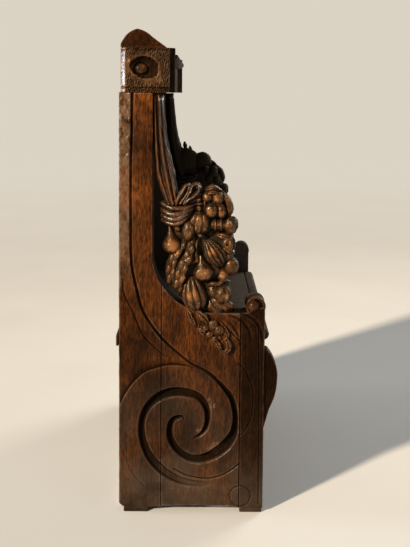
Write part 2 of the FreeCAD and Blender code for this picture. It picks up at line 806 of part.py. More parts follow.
pair("seat_cleat", box(
    "left_seat_cleat", "-%s + Size.cleat_inset" % SEAT_HALF,
    "%s - %s - Size.cleat_length - Size.cleat_setback" % (REAR, HINGE_DEPTH),
    "%s - Size.cleat_height" % SEAT_UNDER,
    "Size.cleat_width", "Size.cleat_length", "Size.cleat_height"))

pair("seat_bearer", box(
    "left_seat_bearer", "-" + INNER, "%s - %s + Size.bearer_front_inset" % (REAR, END_DEPTH),
    "%s - Size.bearer_gap - Size.bearer_height" % SEAT_UNDER, "Size.bearer_thick", "Size.bearer_length",
    "Size.bearer_height"))


def misericord():
    """Ledge and corbel under the seat, one carved piece."""
    front = "(%s - Size.ledge_inset)" % SEAT_FRONT
    ledge = new_body("misericord_ledge", "Size.ledge_width / 2")
    sketch = outline(ledge, "YZ_Plane", [
        ("%s - Size.ledge_thick" % front, SEAT_UNDER),
        ("%s - Size.ledge_thick" % front, "%s - Size.ledge_drop" % SEAT_UNDER),
        (front, "%s - Size.ledge_drop" % SEAT_UNDER), (front, SEAT_UNDER)],
        arcs={1: ("Size.ledge_thick * 0.7", -1)})
    pad(ledge, sketch, "Size.ledge_width")
    corbel = new_body("misericord_corbel", "Size.corbel_width / 2")
    toe = "(%s - Size.ledge_thick)" % front
    sketch = outline(corbel, "YZ_Plane", [
        ("%s - Size.corbel_run" % toe, SEAT_UNDER), (toe, "%s - Size.ledge_drop * 0.84" % SEAT_UNDER),
        (toe + " + Size.ledge_thick / 2", "%s - Size.ledge_drop * 0.84" % SEAT_UNDER),
        (toe + " + Size.ledge_thick / 2", SEAT_UNDER)],
        arcs={0: ("Size.corbel_run * 0.9", 1)})
    pad(corbel, sketch, "Size.corbel_width")
    return fuse("misericord", [ledge, corbel])


keep("misericord", misericord())


# ---------------------------------------------------------------------------
# Garland: cloth, fruit bunch and tail
# ---------------------------------------------------------------------------

GARLAND_X = "-(%s + Size.end_thick / 2)" % INNER
KNOT_DEPTH = "(Size.post_width + Size.knot_ahead)"
KNOT_HEIGHT = "(Size.arm_height + Size.knot_rise)"
STEM_RUN = "(Size.post_top - %s)" % KNOT_HEIGHT
STEM_SWING = "(Size.knot_ahead - Size.stem_ahead)"


def drapery():
    """Cloth that hangs from the block, drawn into a knot."""
    body = new_body("drapery_stem", GARLAND_X)
    # share of the fall from block to knot, share of the swing forward, thickness
    sections = ((0, 0, 1), (0.41, 0.11, 0.9), (0.58, 0.30, 1), (0.74, 0.59, 1.2), (1, 0.91, 1.5))
    sketches = [circle(body, "XY_Plane", "0",
                       "Size.post_width + Size.stem_ahead + %s * %s" % (STEM_SWING, swing),
                       "Size.stem_radius * %s" % thick,
                       lift="Size.post_top - %s * %s" % (STEM_RUN, fall))
                for fall, swing, thick in sections]
    doc.recompute()
    loft = body.newObject("PartDesign::AdditiveLoft", "drapery_loft")
    loft.Profile = sketches[0]
    loft.Sections = sketches[1:]
    body.Tip = loft
    doc.recompute()
    knot = egg("drapery_knot", "%s - Size.knot_out" % GARLAND_X,
               "%s - %s" % (REAR, KNOT_DEPTH), KNOT_HEIGHT,
               "Size.end_thick / 2 + Size.knot_out - 1.5", "Size.knot_radius",
               "Size.knot_radius * 0.75")
    ears = []
    for name, ahead, rise, lean in (("rear", 0.35, 1.3, 20), ("front", 1.0, 1.1, -25)):
        turn = Rotation(Vector(0, 0, 1), 12).multiply(Rotation(Vector(0, 1, 0), 90 + lean))
        ears.append(ring("drapery_ear_" + name, GARLAND_X,
                         "%s - %s - Size.knot_radius * %s" % (REAR, KNOT_DEPTH, ahead),
                         "%s + Size.knot_radius * %s" % (KNOT_HEIGHT, rise),
                         "Size.knot_radius * 0.42",
                         "Size.knot_radius * 0.26", turn))
    return fuse("left_drapery", [body, knot] + ears)


# name: depth ahead of the post's front, height above the arm, half depth, half
# height, centre's distance outwards from the middle of the end's thickness
FRUITS = {
    "core": (116, 168, 62, 136, 7.5), "pear": (52, 180, 23, 26, 10),
    "almond": (88, 214, 15, 24, 22), "gourd": (116, 218, 33, 34, 12),
    "leaf_cap": (152, 305, 17, 14, 6), "plum_high": (163, 289, 18, 18, 12),
    "plum_low": (145, 264, 17, 17, 20), "plum_front": (171, 264, 16, 16, 10),
    "rose": (191, 219, 21, 21, 6), "rosette": (186, 172, 16, 25, 8),
    "fig": (154, 162, 28, 33, 14), "dark_fruit": (193, 118, 22, 22, 7),
    "lower_pear": (126, 111, 26, 27, 16), "apple": (165, 56, 25, 25, 14),
    "melon": (110, 46, 30, 45, 12), "leaf_low": (158, 21, 30, 18, 8),
    "pod_rear": (52, 118, 13, 38, 12), "pod_front": (74, 104, 13, 44, 16),
}


def fruit_bunch(seats):
    """One carved bunch, hollowed where the knot lies on it and where it meets the arm."""
    parts = []
    for name, (ahead, above, half_depth, half_height, out) in FRUITS.items():
        half_across = ("min(%s; Size.end_thick / 2 - 1 + %s;"
                       " Size.end_thick / 2 + Size.carving_proud - %s)" % (half_depth, out, out))
        parts.append(egg("fruit_" + name, "%s - %s" % (GARLAND_X, out),
                         "%s - Size.post_width - %s" % (REAR, ahead),
                         "Size.arm_height + %s" % above,
                         half_across, half_depth, half_height))
    return cut("left_fruit_bunch", fuse("fruit_blank", parts), group("fruit_seats", seats))


def garland_tail():
    """Leaf spray that trails down the face of the middle plank."""
    body = new_body("tail_leaf", "-(%s)" % OUTER)
    start = "(Size.post_width + Size.tail_start)"
    run = "(Size.tail_reach - Size.tail_start)"
    sketch = outline(body, "YZ_Plane", [
        (start, "Size.arm_height - 2"),
        ("%s + %s * 0.34" % (start, run), "Size.arm_height - Size.tail_drop * 0.49"),
        ("%s + %s * 0.94" % (start, run), "Size.arm_height - Size.tail_drop - 2"),
        ("%s + %s" % (start, run), "Size.arm_height - Size.tail_drop * 0.64"),
        ("%s + %s * 0.70" % (start, run), "Size.arm_height - 2")],
        arcs={0: ("Size.tail_drop * 1.02", -1), 1: ("Size.tail_drop * 1.36", -1)})
    pad(body, sketch, "Size.tail_thick")
    return body


left_drapery = pair("drapery", drapery())
pair("fruit_bunch", fruit_bunch([left_drapery, left_middle_plank]))
pair("garland_tail", garland_tail())


# ---------------------------------------------------------------------------
# Checks and files
# ---------------------------------------------------------------------------

doc.recompute()
for obj in doc.Objects:
    if "Invalid" in obj.State or "Error" in obj.State:
        raise RuntimeError("%s did not recompute: %s" % (obj.Label, obj.getStatusString()))
os.makedirs("parts", exist_ok=True)
for name, obj in nodes.items():
    shape = obj.Shape
    if shape.isNull() or not shape.isValid() or not shape.Solids:
        raise RuntimeError("%s has no valid solid" % name)
for name, obj in nodes.items():
    obj.Shape.exportStep("parts/%s.step" % name)
    print("%-28s %2d solid(s) %10.0f mm3" % (name, len(obj.Shape.Solids), obj.Shape.Volume))
print(len(nodes), "nodes")
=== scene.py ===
import math

import bmesh
import bpy
import numpy as np
from mathutils import Matrix, Vector


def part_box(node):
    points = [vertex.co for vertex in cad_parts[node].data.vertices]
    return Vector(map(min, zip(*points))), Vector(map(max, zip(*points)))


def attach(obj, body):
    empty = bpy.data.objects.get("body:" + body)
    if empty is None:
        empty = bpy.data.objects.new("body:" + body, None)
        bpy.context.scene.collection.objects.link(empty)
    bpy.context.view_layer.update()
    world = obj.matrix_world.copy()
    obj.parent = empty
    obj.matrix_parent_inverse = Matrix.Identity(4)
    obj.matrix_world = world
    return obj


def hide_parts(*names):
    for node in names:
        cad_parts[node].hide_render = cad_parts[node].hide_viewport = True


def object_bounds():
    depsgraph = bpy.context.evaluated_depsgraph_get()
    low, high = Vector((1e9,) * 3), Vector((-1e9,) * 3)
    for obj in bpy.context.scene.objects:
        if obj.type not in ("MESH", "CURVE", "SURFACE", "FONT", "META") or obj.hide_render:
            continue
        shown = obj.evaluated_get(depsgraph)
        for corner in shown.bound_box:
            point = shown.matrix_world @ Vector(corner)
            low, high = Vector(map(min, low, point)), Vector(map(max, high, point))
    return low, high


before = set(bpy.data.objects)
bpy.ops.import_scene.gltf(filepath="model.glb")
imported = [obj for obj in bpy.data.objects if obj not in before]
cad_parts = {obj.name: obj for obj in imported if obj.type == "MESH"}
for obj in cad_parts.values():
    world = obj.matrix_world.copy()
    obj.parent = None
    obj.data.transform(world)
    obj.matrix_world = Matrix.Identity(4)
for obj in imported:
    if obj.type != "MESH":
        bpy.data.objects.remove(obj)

CAD_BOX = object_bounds()

bl_info = {
    "name": "Carved choir stall",
    "version": (1, 0, 0),
    "blender": (4, 5, 0),
    "location": "3D View > Sidebar > Stall",
    "description": "Dresses the frame of an oak choir stall with its carving and finish",
    "category": "Object",
}

# ---------------------------------------------------------------------------
# Places on the end: FACE, INNER, MIDDLE and REAR in metres, the others in millimetres
# ---------------------------------------------------------------------------

MM = 0.001
PLANK_LOW, PLANK_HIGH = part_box("left_middle_plank")
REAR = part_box("left_back_plank")[1].y
FACE = -PLANK_LOW.x
INNER = -PLANK_HIGH.x
MIDDLE = (FACE + INNER) / 2
POST_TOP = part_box("left_back_plank")[1].z / MM
FOOT = PLANK_LOW.z / MM
BACK_WIDTH = (REAR - PLANK_HIGH.y) / MM
STILE_BACK = (REAR - PLANK_LOW.y) / MM
END_DEPTH = STILE_BACK + 60
POST_WIDTH = 83
SWEEP_RADIUS = 147
ARM = 509
BLOCK_LOW, BLOCK_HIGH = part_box("left_cornice_block")

# Carved lines on the end, as (depth from the rear edge, height) in millimetres.
POST_GROOVE = [(33, 1049), (32, 956), (30, 861), (30, 697), (33, 625), (45, 566), (57, 521),
               (77, 484), (106, 446), (137, 416), (177, 383), (215, 364), (240, 346)]
REAR_LINE = [(10, 593), (13, 558), (36, 508), (58, 456), (80, 431), (103, 409), (120, 397)]
OUTER_SCROLL = [(188, 193), (203, 202), (216, 219), (221, 244), (217, 272), (202, 295), (177, 306),
                (147, 310), (120, 306), (96, 295), (74, 274), (61, 248), (57, 218), (62, 180),
                (78, 144), (101, 116), (128, 95), (163, 80), (204, 75), (236, 78)]
OUTER_SCROLL_WIDTH = [8, 12, 16, 18, 20, 22, 25, 27, 27, 25, 22, 20, 20, 22, 25, 27, 27, 24, 20, 14]
OUTER_SCROLL_DEPTH = [5, 9, 12, 13, 13, 13, 13, 13, 13, 13, 13, 13, 12, 11, 10, 9, 7, 5, 3, 1]
INNER_SCROLL = [(196, 370), (213, 362), (238, 344), (260, 322), (279, 296), (288, 265), (290, 235),
                (285, 204), (267, 176), (238, 152), (205, 139), (173, 143), (145, 164), (129, 192),
                (127, 218), (135, 239), (155, 247), (163, 240)]
INNER_SCROLL_WIDTH = [4, 7, 11, 15, 17, 17, 18, 24, 31, 30, 26, 23, 21, 20, 19, 17, 13, 7]
INNER_SCROLL_DEPTH = [2, 6, 10, 13, 14, 14, 14, 13, 12, 12, 12, 13, 13, 13, 13, 12, 8, 3]
SCROLL_RIM = [(-5, 259), (4, 276), (16, 300), (36, 330), (63, 356), (92, 368), (120, 375),
              (147, 376), (177, 372)]
LOWER_LINE = [(138, 113), (173, 96), (219, 89), (253, 96), (282, 112), (301, 127)]
GHOST_LINE = [(-3, 198), (9, 161), (36, 101), (63, 69)]
ARM_LINE = [(251, 491), (273, 466), (298, 440)]
STILE_ARC = [(295, 385), (313, 365), (330, 326), (333, 298), (328, 243), (311, 210), (298, 198)]
STILE_BEAD = [(344, 485), (348, 262), (349, 24)]
ROUNDEL_CENTRE = (303, 44)
ROUNDEL_RADIUS = 26
LEAF_CUTS = [[(252, 498), (276, 482), (293, 456), (299, 426)],
             [(272, 504), (300, 492), (322, 462), (326, 420)],
             [(306, 508), (332, 494), (348, 470), (354, 440)]]


class StallSizes(bpy.types.PropertyGroup):
    """Sizes and colours that a user would change."""
    grid: bpy.props.FloatProperty(
        name="Carving grid", description="Spacing of the points on carved faces",
        default=0.0015, min=0.001, unit="LENGTH")
    edge: bpy.props.FloatProperty(
        name="Edge rounding", description="Rounding of the worn plank edges",
        default=0.0035, min=0.0005, unit="LENGTH")
    eased: bpy.props.FloatProperty(
        name="Eased arris", description="Bevel on the plain joinery",
        default=0.0022, min=0.0002, unit="LENGTH")
    oak_light: bpy.props.FloatVectorProperty(
        name="Oak, light", description="Lighter colour of the waxed oak", subtype="COLOR",
        size=3, default=(0.072, 0.0200, 0.0031))
    oak_dark: bpy.props.FloatVectorProperty(
        name="Oak, dark", description="Darker colour of the waxed oak", subtype="COLOR",
        size=3, default=(0.0150, 0.0044, 0.0014))
    dust: bpy.props.FloatVectorProperty(
        name="Dust", description="Colour of dust and dried wax", subtype="COLOR",
        size=3, default=(0.082, 0.058, 0.040))


# ---------------------------------------------------------------------------
# Shader groups
# ---------------------------------------------------------------------------

GROUPS = {}
MATERIALS = {}


def new_group(name, inputs, outputs):
    """Empty shader node group; sockets are (name, kind, default)."""
    group = bpy.data.node_groups.new(name, "ShaderNodeTree")
    for label, kind, default in inputs:
        socket = group.interface.new_socket(label, in_out="INPUT", socket_type=kind)
        socket.default_value = default
    for label, kind in outputs:
        group.interface.new_socket(label, in_out="OUTPUT", socket_type=kind)
    start = group.nodes.new("NodeGroupInput")
    end = group.nodes.new("NodeGroupOutput")
    return group, start, end


def add_node(tree, kind, links=None, **values):
    """Node with settings, and with links or numbers put on its inputs."""
    node = tree.nodes.new(kind)
    for key, value in values.items():
        setattr(node, key, value)
    for socket, source in (links or {}).items():
        if isinstance(source, bpy.types.NodeSocket):
            tree.links.new(source, node.inputs[socket])
        else:
            node.inputs[socket].default_value = source
    return node


def mix_colours(tree, factor, first, second, blend="MIX"):
    """Blend of two colours, each a socket or a constant."""
    node = tree.nodes.new("ShaderNodeMix")
    node.data_type = "RGBA"
    node.blend_type = blend
    for socket, source in ((0, factor), (6, first), (7, second)):
        if isinstance(source, bpy.types.NodeSocket):
            tree.links.new(source, node.inputs[socket])
        else:
            node.inputs[socket].default_value = source
    return node.outputs[2]


def remap(tree, value, low, high, start=0.0, stop=1.0):
    """Value from one range to another, held at its ends."""
    node = add_node(tree, "ShaderNodeMapRange", {
        "Value": value, "From Min": low, "From Max": high, "To Min": start, "To Max": stop})
    return node.outputs["Result"]


def combine(tree, operation, first, second):
    """Result of one step of arithmetic on sockets or numbers."""
    return add_node(tree, "ShaderNodeMath", {0: first, 1: second},
                    operation=operation).outputs[0]


def times(tree, first, second):
    return combine(tree, "MULTIPLY", first, second)


def plus(tree, first, second):
    return combine(tree, "ADD", first, second)


def noise(tree, vector, scale, detail, **inputs):
    """Noise level at a vector; other inputs go by their names."""
    return add_node(tree, "ShaderNodeTexNoise", {
        "Vector": vector, "Scale": scale, "Detail": detail, **inputs}).outputs["Fac"]


def brighten(tree, colour, gain):
    """Colour times a grey level."""
    grey = add_node(tree, "ShaderNodeCombineColor", {0: gain, 1: gain, 2: gain}).outputs[0]
    return mix_colours(tree, 1.0, colour, grey, "MULTIPLY")


def new_material(name):
    """Empty procedural material, its node tree and its object coordinates."""
    material = bpy.data.materials.new(name)
    material.use_nodes = True
    tree = material.node_tree
    tree.nodes.clear()
    return material, tree, add_node(tree, "ShaderNodeTexCoord").outputs["Object"]


def use_group(tree, key, sockets):
    """Node of a shared shader group with its inputs linked or set."""
    return add_node(tree, "ShaderNodeGroup", sockets, node_tree=GROUPS[key]).outputs


def grain_group():
    """Long oak fibres, open pores and blotches along local Z."""
    group, start, end = new_group(
        "Oak fibres",
        [("Vector", "NodeSocketVector", (0, 0, 0)), ("Light", "NodeSocketColor", (1, 1, 1, 1)),
         ("Dark", "NodeSocketColor", (0, 0, 0, 1)), ("Contrast", "NodeSocketFloat", 1.0),
         ("Stains", "NodeSocketFloat", 7.0)],
        [("Color", "NodeSocketColor"), ("Height", "NodeSocketFloat")])
    vector = start.outputs["Vector"]

    def stretched(scale, size, detail, distortion=0.0):
        mapping = add_node(group, "ShaderNodeMapping", {"Vector": vector, "Scale": scale})
        return noise(group, mapping.outputs[0], size, detail, Distortion=distortion)

    fibres = stretched((1, 1, 0.035), 620, 4.0)
    pores = stretched((1, 1, 0.06), 1300, 2.0)
    streaks = stretched((1, 1, 0.07), 95, 5.0, 0.6)
    blotches = stretched((1, 1, 0.45), 14, 4.0, 0.4)
    figure = remap(group, streaks, 0.36, 0.66)
    patch = remap(group, blotches, 0.36, 0.64)
    level = plus(group, times(group, figure, 0.35), times(group, patch, 0.65))
    level = plus(group, level, times(group, remap(group, fibres, 0.3, 0.7, -0.5, 0.5), 0.5))
    level = combine(group, "POWER", remap(group, level, 0.0, 1.0), start.outputs["Contrast"])
    colour = mix_colours(group, level, start.outputs["Dark"], start.outputs["Light"])
    stains = noise(group, vector, start.outputs["Stains"], 7.0, Roughness=0.66, Distortion=0.5)
    specks = stretched((1, 1, 0.22), 260, 3.0)
    colour = brighten(group, colour, times(group, remap(group, stains, 0.36, 0.64, 0.42, 1.45),
                                           remap(group, specks, 0.38, 0.58, 0.42, 1.25)))
    pore_depth = times(group, remap(group, pores, 0.30, 0.42, 1.0, 0.0), 0.6)
    colour = mix_colours(group, pore_depth, colour, (0.006, 0.003, 0.002, 1))
    height = combine(group, "SUBTRACT", fibres, pore_depth)
    group.links.new(colour, end.inputs["Color"])
    group.links.new(height, end.inputs["Height"])
    return group


def wear_group():
    """Masks from the relief attribute: worn edges with painted highlights, and painted shade with
    grime in the hollows.
    """
    group, start, end = new_group(
        "Rubbed edges",
        [("Relief", "NodeSocketFloat", 0.0), ("Vector", "NodeSocketVector", (0, 0, 0)),
         ("Amount", "NodeSocketFloat", 1.0)],
        [("Rubbed", "NodeSocketFloat"), ("Hollow", "NodeSocketFloat")])
    broken = remap(group, noise(group, start.outputs["Vector"], 55.0, 5.0), 0.35, 0.62, 0.25, 1.0)
    # lighter mask: worn edges, and also painted highlights, glints and reflections
    rub_and_highlight = remap(group, start.outputs["Relief"], 0.12, 0.75)
    rub_and_highlight = times(group, times(group, rub_and_highlight, broken), start.outputs["Amount"])
    # dark mask: painted shade in crevices, grooves and hollows, with grime and dark joints
    shade_and_dirt = remap(group, start.outputs["Relief"], -0.10, -0.70)
    group.links.new(rub_and_highlight, end.inputs["Rubbed"])
    group.links.new(shade_and_dirt, end.inputs["Hollow"])
    return group


def dust_group():
    """Grey dust: more of it low down and on faces that look up."""
    group, start, end = new_group(
        "Dust",
        [("Vector", "NodeSocketVector", (0, 0, 0)), ("Normal", "NodeSocketVector", (0, 0, 1)),
         ("Top", "NodeSocketFloat", 0.30), ("Upward", "NodeSocketFloat", 0.4)],
        [("Mask", "NodeSocketFloat")])
    parts = add_node(group, "ShaderNodeSeparateXYZ", {0: start.outputs["Vector"]})
    facing = add_node(group, "ShaderNodeSeparateXYZ", {0: start.outputs["Normal"]})
    patch = remap(group, noise(group, start.outputs["Vector"], 9.0, 6.0, Roughness=0.62),
                  0.32, 0.66)
    low = remap(group, parts.outputs["Z"], 0.0, start.outputs["Top"], 1.0, 0.0)
    up = times(group, remap(group, facing.outputs["Z"], 0.35, 0.95), start.outputs["Upward"])
    mask = plus(group, times(group, low, patch), up)
    group.links.new(remap(group, mask, 0.0, 1.0), end.inputs["Mask"])
    return group


def colour4(rgb):
    return (rgb[0], rgb[1], rgb[2], 1.0)


# turns that lay the fibres along an axis
GRAIN_TURNS = {"Z": (0, 0, 0), "X": (0, math.pi / 2, 0)}


def oak(name, light, dark, dust, grain="Z", rough=(0.42, 0.62), dust_top=0.42, upward=0.25,
        rub_and_highlight=(0.12, 0.060, 0.028), rub_and_highlight_amount=0.6, contrast=1.1, coat=0.0, bump=0.25, spec=0.08,
        top_gain=1.0, shade_and_dirt=0.85, sheen_tint=(1.0, 0.74, 0.44), light_pool_centre=None, stains=7.0,
        waxed=0.8):
    """Waxed oak whose fibres run along one axis of the object."""
    material, tree, place = new_material(name)
    turned = add_node(tree, "ShaderNodeMapping", {
        "Vector": place, "Rotation": GRAIN_TURNS[grain]}).outputs[0]
    fibres = use_group(tree, "grain", {
        "Vector": turned, "Light": colour4(light), "Dark": colour4(dark), "Contrast": contrast,
        "Stains": stains})
    relief = add_node(tree, "ShaderNodeAttribute", attribute_name="relief").outputs["Fac"]
    wear = use_group(tree, "wear", {"Relief": relief, "Vector": place, "Amount": rub_and_highlight_amount})
    normal = add_node(tree, "ShaderNodeNewGeometry").outputs["Normal"]
    dusty = use_group(tree, "dust", {
        "Vector": place, "Normal": normal, "Top": dust_top, "Upward": upward})["Mask"]
    colour = fibres["Color"]
    # the colour grows lighter towards the top, from 0.45 m to 0.85 m high, by top_gain
    if top_gain != 1.0:
        level = add_node(tree, "ShaderNodeSeparateXYZ", {0: place}).outputs["Z"]
        colour = brighten(tree, colour, remap(tree, level, 0.45, 0.85, 1.0, top_gain))
    # painted pool of light: up to 1.7 times brighter within about 0.17 m of light_pool_centre
    if light_pool_centre:
        flattened = add_node(tree, "ShaderNodeMapping", {"Vector": place, "Scale": (0, 1, 1)})
        away = add_node(tree, "ShaderNodeVectorMath", {
            0: flattened.outputs[0], 1: light_pool_centre}, operation="DISTANCE").outputs["Value"]
        colour = brighten(tree, colour, remap(tree, away, 0.05, 0.17, 1.7, 1.0))
    colour = mix_colours(tree, times(tree, dusty, 0.8), colour, colour4(dust))
    # worn edges lighten towards the rub_and_highlight colour, which also paints highlights and
    # glints
    colour = mix_colours(tree, wear["Rubbed"], colour, colour4(rub_and_highlight))
    # painted shade: hollows and crevices darken towards near black, with grime
    colour = mix_colours(tree, times(tree, wear["Hollow"], shade_and_dirt), colour,
                         (0.004, 0.0025, 0.0015, 1))
    # inner side: mixed towards the dust colour, which is dust and painted light on that shaded side
    inner_dust_and_light = add_node(tree, "ShaderNodeAttribute", attribute_name="dusty").outputs["Fac"]
    colour = mix_colours(tree, times(tree, inner_dust_and_light, 0.8), colour, colour4(dust))
    gloss = remap(tree, noise(tree, place, 22.0, 5.0), 0.3, 0.7, rough[0], rough[1])
    gloss = plus(tree, gloss, times(tree, dusty, 0.22))
    gloss = plus(tree, gloss, times(tree, wear["Hollow"], 0.5))
    gloss = combine(tree, "SUBTRACT", gloss, times(tree, wear["Rubbed"], 0.16))
    polished = plus(tree, remap(tree, wear["Hollow"], 0.0, 0.7, coat, 0.0),
                    times(tree, wear["Rubbed"], waxed))
    height = plus(tree, fibres["Height"], times(tree, noise(tree, place, 120.0, 3.0), 0.6))
    bumped = add_node(tree, "ShaderNodeBump", {
        "Height": height, "Strength": 0.6, "Distance": bump * 0.01})
    shader = add_node(tree, "ShaderNodeBsdfPrincipled", {
        "Base Color": colour, "Roughness": gloss, "Normal": bumped.outputs[0],
        "Coat Weight": polished, "Coat Roughness": 0.25, "Specular IOR Level": spec,
        "Specular Tint": colour4(sheen_tint)})
    add_node(tree, "ShaderNodeOutputMaterial", {0: shader.outputs[0]})
    return material


def iron(name):
    """Dull forged iron with rust in the pits."""
    material, tree, place = new_material(name)
    pits = noise(tree, place, 160.0, 6.0)
    rust = remap(tree, pits, 0.45, 0.62)
    colour = mix_colours(tree, rust, (0.045, 0.042, 0.04, 1), (0.09, 0.035, 0.015, 1))
    bumped = add_node(tree, "ShaderNodeBump", {"Height": pits, "Strength": 0.4,
                                               "Distance": 0.0008})
    shader = add_node(tree, "ShaderNodeBsdfPrincipled", {
        "Base Color": colour, "Roughness": remap(tree, rust, 0.0, 1.0, 0.42, 0.8),
        "Metallic": remap(tree, rust, 0.0, 1.0, 1.0, 0.1), "Normal": bumped.outputs[0]})
    add_node(tree, "ShaderNodeOutputMaterial", {0: shader.outputs[0]})
    return material


def make_materials(sizes):
    """Fill the tables of shader groups and materials."""
    GROUPS.update(grain=grain_group(), wear=wear_group(), dust=dust_group())
    light, dark, dust = sizes.oak_light, sizes.oak_dark, sizes.dust
    darker = [c * 0.32 for c in light]
    carved = dict(dust_top=0.20, upward=0.0, bump=0.14)
    unpolished = dict(rough=(0.8, 0.95), upward=0.0, rub_and_highlight_amount=0.2, spec=0.0)
    # the end oak carries a painted pool of light and grows lighter towards the top
    MATERIALS["end_oak"] = oak("End oak", light, dark, dust, top_gain=2.2,
                               rub_and_highlight=(0.23, 0.135, 0.074), coat=0.06,
                               light_pool_centre=(0, REAR - 0.215, 0.425))
    # stiles, consoles and feet: a darker copy of the end oak, which is painted shade
    MATERIALS["shaded_stile_oak"] = oak("Stile oak", darker, [c * 0.5 for c in dark], dust,
                                 dust_top=0.25, rub_and_highlight=(0.12, 0.042, 0.014))
    MATERIALS["frame_oak"] = oak("Frame oak, upright", [c * 0.6 for c in light], dark, dust)
    MATERIALS["rail_oak"] = oak("Frame oak, lengthwise", [c * 0.6 for c in light], dark, dust,
                                grain="X", rough=(0.55, 0.75), spec=0.04)
    MATERIALS["seat_oak"] = oak(
        "Seat oak", (0.085, 0.058, 0.038), (0.034, 0.022, 0.013), (0.125, 0.095, 0.068),
        grain="X", rough=(0.45, 0.65), upward=0.8, rub_and_highlight_amount=0.4, rub_and_highlight=(0.16, 0.12, 0.09))
    MATERIALS["carving"] = oak(
        "Carving oak", (0.096, 0.0268, 0.0044), (0.010, 0.0026, 0.0006), dust,
        rough=(0.22, 0.33), rub_and_highlight=(0.43, 0.165, 0.040), rub_and_highlight_amount=0.8, coat=0.14, spec=0.55,
        shade_and_dirt=0.99, sheen_tint=(1.0, 0.74, 0.42), stains=38.0, waxed=0.5, **carved)
    MATERIALS["leaf_oak"] = oak(
        "Leaf spray oak", (0.048, 0.0145, 0.0028), (0.009, 0.0028, 0.0008), dust,
        rough=(0.26, 0.40), rub_and_highlight=(0.21, 0.085, 0.032), rub_and_highlight_amount=0.8, coat=0.05, spec=0.25,
        shade_and_dirt=0.985, stains=38.0, **carved)
    MATERIALS["block_oak"] = oak(
        "Block oak", (0.165, 0.070, 0.025), (0.040, 0.017, 0.006), dust,
        rub_and_highlight=(0.30, 0.20, 0.12), rub_and_highlight_amount=0.8, coat=0.10, stains=45.0)
    # inner side of the stiles: a lighter oak, dust with painted light on that shaded side
    MATERIALS["inner_stile_dust_and_light"] = oak(
        "Dusty inner oak", (0.11, 0.088, 0.068), (0.055, 0.043, 0.033), dust,
        shade_and_dirt=0.2, **unpolished)
    # cloth: a lighter copy of the carving oak, painted highlight for its sheen
    MATERIALS["lit_cloth_carving"] = oak(
        "Cloth carving oak", (0.125, 0.041, 0.0095), (0.020, 0.0062, 0.0016), dust,
        rough=(0.24, 0.36), rub_and_highlight=(0.24, 0.105, 0.038), rub_and_highlight_amount=0.7, coat=0.75, spec=0.40,
        shade_and_dirt=0.98, sheen_tint=(1.0, 0.80, 0.55), stains=24.0, **carved)
    MATERIALS["inner_oak"] = oak(
        "Unpolished oak", (0.055, 0.030, 0.015), (0.018, 0.010, 0.006), dust,
        shade_and_dirt=0.6, **unpolished)
    MATERIALS["crest_oak"] = oak("Crest oak", light, [c * 1.3 for c in dark], dust, grain="X",
                                 rough=(0.5, 0.7), spec=0.06)
    MATERIALS["pin_iron"] = iron("Forged iron")


# ---------------------------------------------------------------------------
# Mesh helpers
# ---------------------------------------------------------------------------

def deselect():
    if bpy.context.object and bpy.context.object.mode != "OBJECT":
        bpy.ops.object.mode_set(mode="OBJECT")
    bpy.ops.object.select_all(action="DESELECT")


def new_object(name, data):
    item = bpy.data.objects.new(name, data)
    bpy.context.collection.objects.link(item)
    return item


def activate(piece):
    deselect()
    piece.select_set(True)
    bpy.context.view_layer.objects.active = piece


def dress(piece, material, body, dull_material="inner_oak"):
    """Material, body and finish slot of a finished piece; unpolished faces stay dull."""
    mesh = piece.data
    mesh.materials.clear()
    mesh.materials.append(MATERIALS[material])
    if "dusty" in mesh.attributes:
        mesh.materials.append(MATERIALS[dull_material])
        dull = mesh.attributes["dusty"].data
        for face in mesh.polygons:
            face.material_index = int(any(dull[vertex].value > 0.5 for vertex in face.vertices))
    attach(piece, body)
    return piece


def mark_arrises(mesh, width):
    """Face attribute that is positive on the narrow faces of a bevel."""
    lengths = [(mesh.vertices[a].co - mesh.vertices[b].co).length
               for a, b in (edge.vertices for edge in mesh.edges)]
    shortest = {edge.key: length for edge, length in zip(mesh.edges, lengths)}
    layer = mesh.attributes.new("relief", "FLOAT", "FACE")
    values = [0.6 if min(shortest[key] for key in face.edge_keys) < width else 0.0
              for face in mesh.polygons]
    layer.data.foreach_set("value", values)


# mark of the inner side; it mixes towards the dust colour, which is dust and painted light
INNER_DUST_AND_LIGHT = 0.85


def mark_inner_dust_and_light(mesh, limit):
    """Point attribute for the inner side, beyond a limit in X: dull finish, and a mix towards the
    dust colour that is dust and painted light.
    """
    layer = mesh.attributes.new("dusty", "FLOAT", "POINT")
    layer.data.foreach_set("value", [INNER_DUST_AND_LIGHT * (v.co.x > limit) for v in mesh.vertices])


def vertex_rows(mesh, kind):
    """Positions ("co") or normals ("normal") of the vertices, one in each row."""
    values = np.empty(len(mesh.vertices) * 3)
    mesh.vertices.foreach_get(kind, values)
    return values.reshape(-1, 3)


